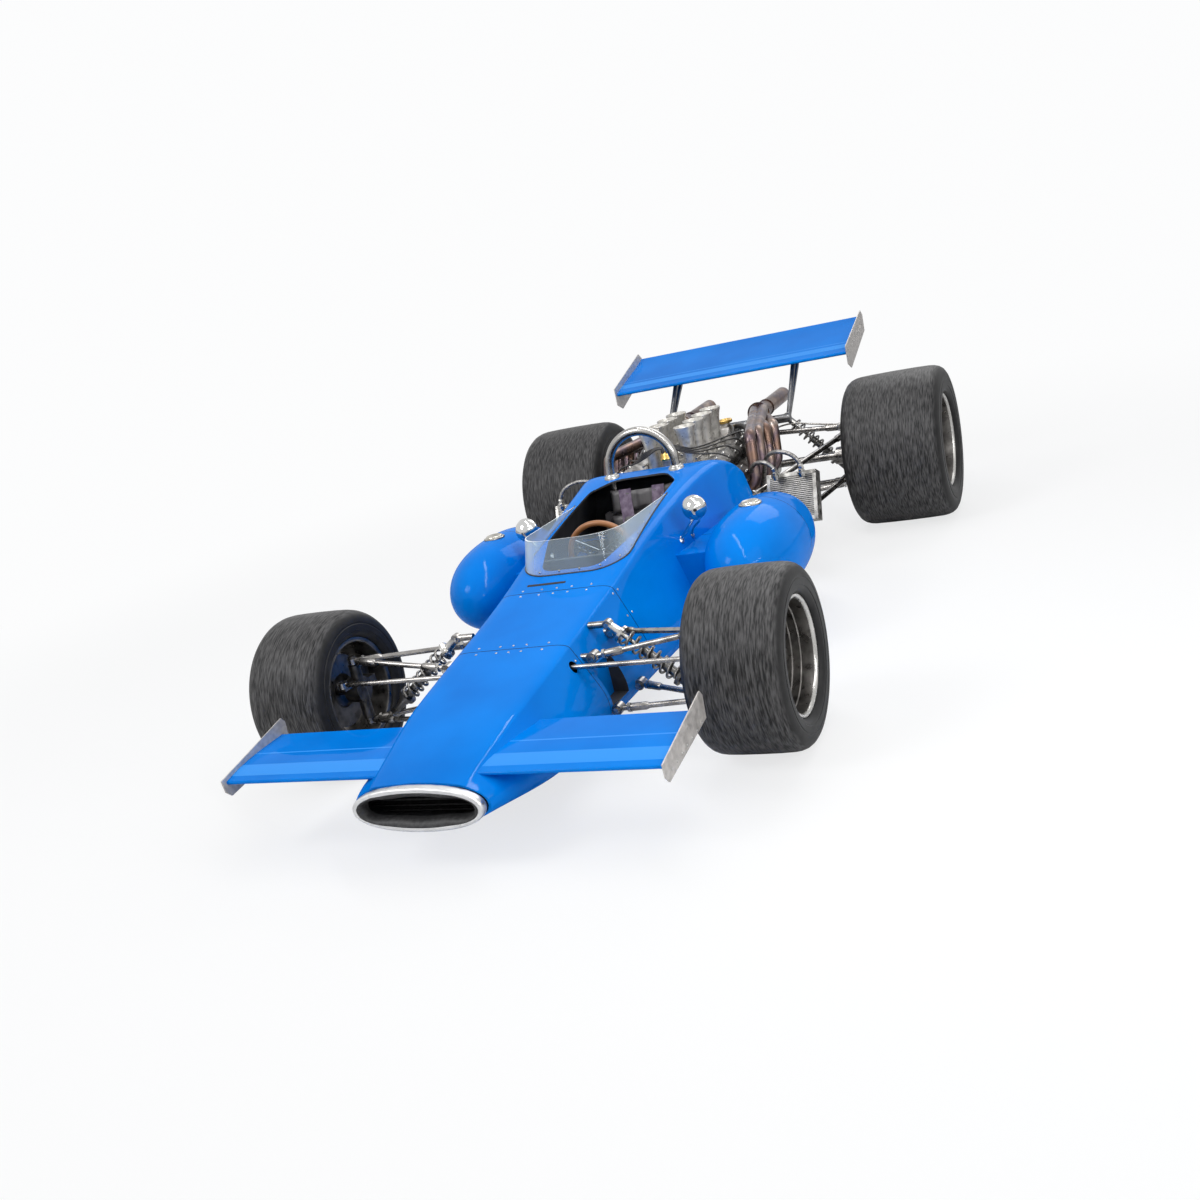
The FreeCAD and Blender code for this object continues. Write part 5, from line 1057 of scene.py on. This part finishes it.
# Distributor, metering unit and catch tank
# Turned pieces: the distributor with its gold cap and the metering unit in the valley of the V, the catch
# tank behind them with its gold lid, and the bearing cover at the gearbox's tail.
spark_foot, catch_foot = (0, 0.480, 0.530), (0.086, 1.036, 0.440)
outline = millimetres(((-2, 0), (-2, 24), (12, 24), (14, 17), (40, 17), (44, 26), (62, 27), (64, 30),
                       (70, 30), (70, 0)))
spark = turned("distributor_body", cast, outline, spark_foot, (0, 0, 1), 40, closed=False)
outline = millimetres(((70, 0), (70, 31), (76, 31.5), (80, 29), (90, 27), (100, 22), (104, 12), (106, 0)))
spark_cap = turned("distributor_cap", gold, outline, spark_foot, (0, 0, 1), 40, closed=False)
parts = [spark, spark_cap]
for number in range(8):
    angle = math.tau * (number + 0.5) / 8
    outline = millimetres(((-8, 0), (-8, 6), (10, 5), (14, 3.5), (14, 0)))
    parts.append(turned(f"cap_tower_{number}", lead_rubber, outline,
                        (0.018 * math.cos(angle), spark_foot[1] + 0.018 * math.sin(angle), 0.632), (0, 0, 1),
                        12, closed=False))
outline = millimetres(((-38, 0), (-38, 22), (-34, 26), (-10, 26), (-8, 31), (4, 31), (6, 26), (24, 26),
                       (28, 20), (28, 0)))
meter = turned("metering_unit", head_metal, outline, (0, 0.935, 0.566), (0, 1, 0), 36, closed=False)
parts.append(meter)
outline = millimetres(((-2, 0), (-2, 33), (3, 37), (24, 38), (150, 38), (158, 34), (162, 22), (178, 21),
                       (178, 0)))
tank = turned("catch_tank", plate_alloy, outline, catch_foot, (0, 0, 1), 48, closed=False)
outline = millimetres(((176, 12), (176, 30), (178, 34), (188, 34), (191, 31), (191, 24), (185, 22),
                       (185, 12)))
lid = turned("catch_tank_lid", gold, outline, catch_foot, (0, 0, 1), 48)
# The tank's mouth is a near black disc, painted shade of its opening.
outline = millimetres(((177, 0), (177, 15), (184, 15), (184, 0)))
mouth = turned("catch_tank_mouth", hollow_painted_shade, outline, catch_foot, (0, 0, 1), 32, closed=False)
outline = millimetres(((-2, 0), (-2, 46), (2, 46), (3, 45), (3, 36), (1.5, 35), (1.5, 20), (4, 18), (4, 0)))
rim = turned("tail_bearing", head_metal, outline, (0, tail_along, 0.330), (0, 1, 0), 48, closed=False)
parts += [tank, lid, mouth, rim]
carried(joined("engine_ancillaries", parts), "chassis")

# Exhausts
# The pipes sweep back into two tailpipes. Heat has tinted their steel brown and violet, more in some places
# than in others.
tinted = bright("tinted_steel", (0.3, 0.22, 0.18), 0.3, 14.0)
tree = tinted.node_tree
tint = tree.nodes.new("ShaderNodeValToRGB")
heat = ((0.0, (0.05, 0.04, 0.038)), (0.4, (0.16, 0.10, 0.075)), (0.52, (0.10, 0.075, 0.09)),
        (0.62, (0.22, 0.16, 0.13)), (1.0, (0.26, 0.24, 0.23)))
for place, colour in heat:
    stop = tint.color_ramp.elements.new(place)
    stop.color = (*colour, 1)
tree.links.new(speckle(tinted, 9.0, 5.0), tint.inputs["Fac"])
tree.links.new(tint.outputs["Color"], shader_of(tinted).inputs["Base Color"])
welded("exhausts", tinted, 40)

# Suspension and steering
# Polished steel wishbones, links and track rods with round joints, sleeves and lock nuts, and dark machined
# uprights. The rack moves across in its box, and the uprights turn on their kingpins.
link_steel = bright("link_steel", (0.36, 0.345, 0.33), 0.24, 30.0, grime=0.45)
for node in ("front_wishbones", "rear_links", "steering_rack"):
    welded(node, link_steel, 35)
upright_metal = bright("upright_metal", (0.11, 0.105, 0.10), 0.42, 50.0, grime=0.5)
disc_iron = bright("disc_iron", (0.2, 0.195, 0.19), 0.36, 50.0)
welded("rear_uprights", upright_metal, 35)
arm_end, arm_reach = (-1.2, 0.33), 0.03
for hand in ("left", "right"):
    knuckle = welded(f"knuckle_{hand}", upright_metal, 35)
    knuckle.data.materials.append(link_steel)
    for face in knuckle.data.polygons:
        if abs(face.center.y - arm_end[0]) < arm_reach and abs(face.center.z - arm_end[1]) < arm_reach:
            face.material_index = 1
fittings = []
links = (((0.641, -1.1105, 0.3839), (0.2807, -1.1292, 0.3391), 0.009),
         ((0.6354, -1.104, 0.3837), (0.2758, -0.956, 0.3528), 0.009),
         ((0.6338, -1.1109, 0.1647), (0.3237, -1.1291, 0.1583), 0.009),
         ((0.6356, -1.1024, 0.1647), (0.3219, -0.9373, 0.1583), 0.009),
         ((0.5432, 1.337, 0.4593), (0.0761, 1.311, 0.4935), 0.012),
         ((0.5421, 1.3405, 0.2113), (0.1116, 1.3996, 0.1937), 0.012),
         ((0.5427, 1.2775, 0.2113), (0.1109, 1.167, 0.1937), 0.012),
         ((0.5568, 1.2686, 0.4394), (0.3389, 0.4432, 0.4006), 0.012),
         ((0.5562, 1.2684, 0.2536), (0.3081, 0.4429, 0.1595), 0.012))
for number, (outer, inner, radius) in enumerate(links):
    for name, start, end in (("outer", outer, inner), ("inner", inner, outer)):
        way = (Vector(end) - Vector(start)).normalized()
        outline = ((0.030, radius), (0.030, radius + 0.004), (0.078, radius + 0.004),
                   (0.088, radius + 0.0005), (0.088, radius))
        sleeve = turned(f"sleeve_{number}_{name}", link_steel, outline, start, way, 20)
        outline = ((0.018, radius - 0.001), (0.018, radius + 0.007), (0.028, radius + 0.007),
                   (0.028, radius - 0.001))
        nut = turned(f"lock_nut_{number}_{name}", nut_metal, outline, start, way, 6)
        fittings += [sleeve, nut]
lengthwise, upright_way = (0, 1, 0), (0, 0, 1)
eyes = (((0.2652, -1.130, 0.3372), lengthwise), ((0.2613, -0.950, 0.3516), lengthwise),
        ((0.3081, -1.130, 0.158), lengthwise), ((0.3081, -0.930, 0.158), lengthwise),
        ((0.059, 1.310, 0.4948), upright_way), ((0.5603, 1.338, 0.458), upright_way),
        ((0.0944, 1.402, 0.193), upright_way), ((0.5603, 1.338, 0.212), upright_way),
        ((0.0944, 1.1628, 0.193), upright_way), ((0.5603, 1.282, 0.212), upright_way),
        ((0.3354, 0.430, 0.400), upright_way), ((0.5603, 1.282, 0.440), upright_way),
        ((0.3042, 0.430, 0.158), upright_way), ((0.5603, 1.282, 0.2552), upright_way))
for number, (place, axis) in enumerate(eyes):
    outline = millimetres(((-24, 0), (-24, 10), (-17, 10), (-17, 13), (-14.6, 13), (-14.6, 9), (14.6, 9),
                           (14.6, 13), (17, 13), (17, 10), (25, 10), (25, 0)))
    fittings.append(turned(f"eye_bolt_{number}", nut_metal, outline, place, axis, 12, closed=False))
fitted = joined("link_fittings_left", fittings)
carried(fitted, "chassis")
carried(twin(fitted, "link_fittings_right", mirror=True), "chassis")

# Dampers and springs
# At each corner a ribbed damper with a bright rod stands inside a wound spring, between two eyes with bolts.
# The left units are built here and mirrored to the right.
damper_metal = bright("damper_metal", (0.17, 0.165, 0.16), 0.32)
spring_steel = bright("spring_steel", (0.24, 0.23, 0.22), 0.3)


def coil_over(name, bottom, top, bracket_to):
    """A damper with its ribbed body, bright rod, spring seats, wound spring, eyes and top bracket."""
    bottom, top = Vector(bottom), Vector(top)
    axis = top - bottom
    long = axis.length
    low, high = 0.26 * long, 0.84 * long
    outline = ((-0.004, 0), (-0.004, 0.011), (0.012, 0.015), (low - 0.03, 0.015), (low - 0.028, 0.019),
               (low - 0.014, 0.019), (low - 0.012, 0.030), (low, 0.031), (low, 0.0155), (0.62 * long, 0.015),
               (0.63 * long, 0.011), (0.63 * long, 0))
    body = turned(f"{name}_body", damper_metal, outline, bottom, axis, 28, closed=False)
    outline = ((0.6 * long, 0), (0.6 * long, 0.0075), (high, 0.0075), (high, 0.031), (high + 0.010, 0.030),
               (high + 0.014, 0.016), (long + 0.002, 0.013), (long + 0.004, 0))
    shaft = turned(f"{name}_rod", nut_metal, outline, bottom, axis, 28, closed=False)
    turns = 8
    choose()
    bpy.ops.mesh.primitive_circle_add(vertices=8, radius=0.0045, location=(0.026, 0, 0),
                                      rotation=(math.pi / 2, 0, 0))
    wire = bpy.context.object
    wire.name = f"{name}_spring"
    fix_place()
    screw = wire.modifiers.new("wind", "SCREW")
    screw.axis = "Z"
    screw.angle = math.tau * turns
    screw.screw_offset = high - low - 0.010
    screw.steps = 18 * turns
    screw.render_steps = 18 * turns
    bpy.ops.object.modifier_apply(modifier="wind")
    wire.rotation_mode = "QUATERNION"
    wire.rotation_quaternion = axis.to_track_quat("Z", "Y")
    wire.location = bottom + axis.normalized() * (low + 0.005)
    fix_place()
    face_outwards(fill=10)
    soften(60)
    wire.data.materials.append(spring_steel)
    eyes = []
    for place, point in (("low", bottom), ("high", top)):
        outline = millimetres(((-13, 6), (-13, 14), (-10, 16.5), (10, 16.5), (13, 14), (13, 6)))
        ring = turned(f"{name}_{place}_eye", link_steel, outline, point, (0, 1, 0), 24)
        outline = millimetres(((-18, 0), (-18, 9), (-12, 9), (-12, 6), (12, 6), (12, 9), (18, 9), (18, 0)))
        pin = turned(f"{name}_{place}_bolt", nut_metal, outline, point, (0, 1, 0), 6, closed=False)
        eyes += [ring, pin]
    arm = tube(f"{name}_bracket", [top, top.lerp(Vector(bracket_to), 0.5), Vector(bracket_to)], 0.012,
               link_steel)
    return joined(name, [body, shaft, wire, arm] + eyes)


front_unit = coil_over("front_damper_left", (0.5816, -1.074, 0.1636), (0.2808, -1.010, 0.398),
                       (0.215, -1.010, 0.398))
settle(front_unit, "front_dampers")
settle(twin(front_unit, "front_damper_right", mirror=True), "front_dampers")
rear_unit = coil_over("rear_damper_left", (0.5293, 1.402, 0.230), (0.279, 1.350, 0.545),
                      (0.279, 1.318, 0.545))
settle(rear_unit, "rear_dampers")
settle(twin(rear_unit, "rear_damper_right", mirror=True), "rear_dampers")

# Oil coolers
# A black finned core in a bright alloy frame leans back on each side, with two hose unions on its top.
# The left frame is built upright and then leant, and the right one mirrors it.
cooler_black = finish("cooler_black", (0.05, 0.05, 0.05), 0.4, 0.6)
raise_by(cooler_black, speckle(cooler_black, 300.0, 2.0, (1, 0.2, 0.2)), 0.6, 0.002)
shade_between(cooler_black, speckle(cooler_black, 160.0, 3.0), (0.02, 0.02, 0.02), (0.12, 0.115, 0.11))
cooler_core = copied("oil_coolers", cooler_black, 35)
cooler_alloy = bright("cooler_alloy", (0.42, 0.41, 0.39), 0.32, 40.0, grime=0.5)
parts = []


def cooler_block(name, size, place):
    """A part of the left cooler, given upright at its middle and then leant back with the core."""
    parts.append(block_at(name, cooler_alloy, size, place))


for face in (-1, 1):
    for side in (-1, 1):
        cooler_block(f"cooler_side_{face}_{side}", (0.014, 0.005, 0.202), (side * 0.096, face * 0.0305, 0))
        cooler_block(f"cooler_end_{face}_{side}", (0.206, 0.005, 0.016), (0, face * 0.0305, side * 0.093))
for side in (-1, 1):
    cooler_block(f"cooler_cheek_{side}", (0.004, 0.062, 0.202), (side * 0.1015, 0, 0))
    cooler_block(f"cooler_cap_{side}", (0.206, 0.062, 0.004), (0, 0, side * 0.0995))
for number in range(21):
    cooler_block(f"cooler_tube_{number}", (0.186, 0.0605, 0.0028), (0, 0, -0.080 + 0.008 * number))
frame_parts = joined("cooler_frame_left", parts)
cooler_lean, cooler_place = math.radians(-24), Vector((0.492, 0.525, 0.352))
frame_parts.rotation_euler = (cooler_lean, 0, 0)
frame_parts.location = cooler_place
fix_place()
unions = []
for side in (-1, 1):
    outline = millimetres(((-4, 0), (-4, 14), (6, 14), (6, 17), (16, 17), (16, 11), (26, 11), (26, 0)))
    unions.append(turned(f"hose_union_{side}", nut_metal, outline,
                         cooler_place + Vector((side * 0.055, -0.025, 0.098)), (0, -0.2, 1), 12,
                         closed=False))
frame_parts = joined("cooler_frame_left", [frame_parts] + unions)
other = twin(frame_parts, "cooler_frame_right", mirror=True)
settle(joined("oil_coolers_finished", [cooler_core, frame_parts, other]), "oil_coolers")

# Steering wheel
# A tan leather rim on three drilled metal spokes. The black boss runs on as the column, forwards to the
# rack, and the wheel stands square to it.
tan = finish("wheel_leather", (0.32, 0.13, 0.045), 0.38)
raise_by(tan, speckle(tan, 300.0, 3.0), 0.2, 0.0004)
spoke_black = bright("spoke_black", (0.5, 0.5, 0.5), 0.3)
wheel_place, column_place = Vector((0, -0.340, 0.440)), Vector((0, -1.167, 0.348))
rim_radius, grip, grip_sides = 0.129, 0.011, 14
column_way = (column_place - wheel_place).normalized()
outline = []
for number in range(grip_sides):
    angle = math.tau * number / grip_sides
    outline.append((grip * math.sin(angle), rim_radius + grip * math.cos(angle)))
rim = turned("steering_wheel_rim", tan, outline, wheel_place, column_way, 72)
parts = [rim]
for number in range(3):
    spoke = slab(f"wheel_spoke_{number}", (0.034, 0.003, 0.1))
    bpy.ops.object.mode_set(mode="EDIT")
    bpy.ops.transform.translate(value=(0, 0, 0.072))
    bpy.ops.object.mode_set(mode="OBJECT")
    for hole_number, up in enumerate((0.052, 0.074, 0.094)):
        drill = primitive("cylinder", "drill", vertices=20, radius=0.010 - hole_number * 0.0015, depth=0.02,
                          location=(0, 0, up), rotation=(math.pi / 2, 0, 0))
        choose(spoke)
        hole = spoke.modifiers.new("hole", "BOOLEAN")
        hole.object = drill
        bpy.ops.object.modifier_apply(modifier="hole")
        bpy.data.objects.remove(drill)
    choose(spoke)
    bpy.ops.object.mode_set(mode="EDIT")
    bpy.ops.mesh.select_all(action="SELECT")
    bpy.ops.transform.rotate(value=math.radians(60 + 120 * number), orient_axis="Y",
                             center_override=(0, 0, 0))
    bpy.ops.object.mode_set(mode="OBJECT")
    spoke.rotation_mode = "QUATERNION"
    spoke.rotation_quaternion = Vector((0, -1, 0)).rotation_difference(column_way)
    spoke.location = wheel_place
    fix_place()
    spoke.data.materials.append(spoke_black)
    parts.append(spoke)
outline = millimetres(((-8, 0), (-8, 14), (-6, 18), (-2, 27), (3, 27), (6, 22), (26, 20), (30, 10),
                       (842, 10), (842, 0)))
boss = turned("wheel_boss", trim_black, outline, wheel_place, column_way, 32, closed=False)
settle(joined("steering_wheel_finished", parts + [boss]), "steering_wheel")


# Tyres
# Wide racing slicks in soft black rubber, moulded with stepped rings on their sidewalls and a rounded
# shoulder, and scuffed grey all over the tread by the track. Each is pressed on its rim's two bead seats.
def slick_rubber(name, axle, tread_from):
    """Black rubber, greyer over the tread than on the sidewalls."""
    material = finish(name, (0.03, 0.03, 0.031), 0.5, specular=0.22)
    tree = material.node_tree
    split = tree.nodes.new("ShaderNodeVectorMath")
    split.operation = "MULTIPLY_ADD"
    split.inputs[1].default_value = (0, 1, 1)
    split.inputs[2].default_value = (0, -axle[1], -axle[2])
    tree.links.new(object_place(material), split.inputs[0])
    out = tree.nodes.new("ShaderNodeVectorMath")
    out.operation = "LENGTH"
    tree.links.new(split.outputs[0], out.inputs[0])
    tread = limits(tree, out.outputs["Value"], from_min=tread_from, from_max=tread_from + 0.014)
    black = (0.006, 0.006, 0.0065)
    wall = shade_between(material, speckle(material, 22.0, 5.0), black, (0.018, 0.0175, 0.018), 0.3, 0.72)
    scuffs = speckle(material, 170.0, 5.0, (1.3, 0.16, 0.16))
    worn = shade_between(material, scuffs, black, (0.085, 0.083, 0.084), 0.36, 0.66)
    mixed(material, tread.outputs["Result"], wall, worn)
    raise_by(material, speckle(material, 240.0, 4.0, (1.3, 0.2, 0.2)), 0.45, 0.0006)
    return material


axles = {"front": (0.780, -1.110, 0.280), "rear": (0.800, 1.310, 0.335)}
half_sections = {"front": ((119, 172.3), (119, 181.7), (132, 182.6), (139, 187), (144, 194), (146.8, 200),
                           (146.8, 203.5), (149, 205.5), (149.8, 214), (149.8, 224.5), (148.2, 226.5),
                           (148.2, 230), (149.6, 232.5), (148.4, 243), (144.5, 254), (137.5, 263.5),
                           (127.5, 271), (115, 275.6), (98, 278), (60, 279.5), (0, 280)),
                 "rear": ((182, 196.3), (182, 205.7), (196, 207), (204, 212), (209.5, 221), (212, 229),
                          (212, 233.5), (214.3, 236), (214.8, 246), (214.8, 261), (213, 263.5), (213, 268),
                          (214.5, 271), (213, 287), (208.5, 301), (200, 314.5), (187, 324), (170, 329.8),
                          (150, 332.6), (90, 334.3), (0, 335)), }
for axle, centre in axles.items():
    half = half_sections[axle]
    whole = list(half) + [(-along, out) for along, out in reversed(half[:-1])]
    rubber = slick_rubber(f"{axle}_slick_rubber", centre, centre[2] - 0.024)
    left = turned(f"{axle}_slick_left", rubber, millimetres(whole), centre, (1, 0, 0), 128)
    settle(left, f"tyre_{axle}_left")
    right = twin(left, f"{axle}_slick_right", mirror=True)
    settle(right, f"tyre_{axle}_right")

# Rims
# Wide cast alloy rims with a machined barrel and lip and a darker spoked centre, held by one big nut. The
# front ones show their spokes near the lip, the rear ones are deep dishes, and brake discs turn behind the
# front centres.
rim_metal = bright("rim_metal", (0.2, 0.19, 0.18), 0.32, 30.0, grime=0.5)
lip_metal = bright("lip_metal", (0.5, 0.49, 0.47), 0.25, 20.0, grime=0.85)
spoke_metal = bright("spoke_metal", (0.13, 0.125, 0.12), 0.4, 60.0)


def spun_part(name, profile, centre, material, steps=96):
    """A turned part about the wheel's own axis, with its profile in millimetres and its metal."""
    piece = turned(name, material, millimetres(profile), centre, (1, 0, 0), steps)
    return piece


def spoked_centre(name, centre, web, hub_out, rim_in, count, width):
    """Spokes round a hub: one bar is drawn in towards its outer end, rounded and copied round the axis."""
    middle = (centre[0] + web, centre[1], centre[2] + (hub_out + rim_in) / 2)
    bar = slab(name, (0.022, width, rim_in - hub_out + 0.004), location=middle)
    fix_place()
    for corner in bar.data.vertices:
        if corner.co.z > centre[2] + rim_in - 0.01:
            corner.co.y = centre[1] + (corner.co.y - centre[1]) * 1.35
            corner.co.x += 0.010
    choose(bar)
    bevel = bar.modifiers.new("edge", "BEVEL")
    bevel.width = 0.005
    bevel.segments = 3
    bpy.ops.object.modifier_apply(modifier="edge")
    soften(35)
    bars = [bar]
    for number in range(1, count):
        bars.append(twin(bar, f"{name}_{number}"))
        bpy.ops.object.mode_set(mode="EDIT")
        bpy.ops.mesh.select_all(action="SELECT")
        bpy.ops.transform.rotate(value=math.tau * number / count, orient_axis="X", center_override=centre)
        bpy.ops.object.mode_set(mode="OBJECT")
    for bar in bars:
        bar.data.materials.append(spoke_metal)
    return bars


def lip(barrel, outside):
    """Give the machined outer lip of a barrel its brighter metal."""
    barrel.data.materials.append(lip_metal)
    for face in barrel.data.polygons:
        if face.center.x > outside:
            face.material_index = 1


front, rear = axles["front"], axles["rear"]
outline = ((-131, 181), (-119, 181), (-119, 172), (119, 172), (119, 180.6), (122, 181), (128, 181),
           (130.6, 179.5), (131, 176), (129.5, 171.5), (126, 168.6), (121, 167), (84, 166), (81, 162.5),
           (58, 161), (55, 157), (34, 156), (30, 160), (-121, 164), (-128, 167), (-131, 172))
barrel = spun_part("front_barrel", outline, front, rim_metal, 128)
outline = ((8, 17.6), (38, 17.6), (44, 24), (44, 36), (41, 52), (36, 60), (24, 63), (10, 60), (8, 40))
hub = spun_part("front_hub", outline, front, spoke_metal, 64)
outline = ((40, 12), (60, 12), (63, 17), (63, 25), (60, 29), (48, 31), (40, 31))
nut = spun_part("front_nut", outline, front, nut_metal, 6)
outline = ((-56, 60), (-56, 127), (-54.5, 128), (-45.5, 128), (-44, 127), (-44, 60), (-30, 56), (-28, 46),
           (8, 44), (8, 20), (-34, 20), (-40, 46), (-46, 56))
disc = spun_part("front_disc", outline, front, disc_iron, 96)
lip(barrel, front[0] + 0.119)
parts = [barrel, hub, nut, disc] + spoked_centre("front_spoke", front, 0.024, 0.052, 0.158, 10, 0.026)
front_rim = joined("front_rim_left", parts)
settle(front_rim, "rim_front_left")
settle(twin(front_rim, "front_rim_right", mirror=True), "rim_front_right")

outline = ((-194, 205), (-182, 205), (-182, 196), (182, 196), (182, 204.6), (185, 205), (191, 205),
           (193.6, 203.5), (194, 200), (192.5, 195.5), (189, 192.6), (184, 191), (136, 190), (132, 185),
           (70, 183), (66, 178), (-2, 176), (-8, 182), (-184, 188), (-191, 191), (-194, 196))
barrel = spun_part("rear_barrel", outline, rear, rim_metal, 128)
outline = ((-34, 17.6), (2, 17.6), (10, 26), (10, 38), (4, 58), (-4, 70), (-18, 74), (-34, 70), (-34, 40))
hub = spun_part("rear_hub", outline, rear, spoke_metal, 64)
nut = spun_part("rear_nut", ((4, 18), (16, 18), (20, 20), (20, 30), (16, 33), (4, 33)), rear, nut_metal, 6)
lip(barrel, rear[0] + 0.180)
parts = [barrel, hub, nut] + spoked_centre("rear_spoke", rear, -0.016, 0.06, 0.178, 8, 0.034)
rear_rim = joined("rear_rim_left", parts)
settle(rear_rim, "rim_rear_left")
settle(twin(rear_rim, "rear_rim_right", mirror=True), "rim_rear_right")
for hand in ("left", "right"):
    welded(f"driveshaft_{hand}", link_steel, 35)
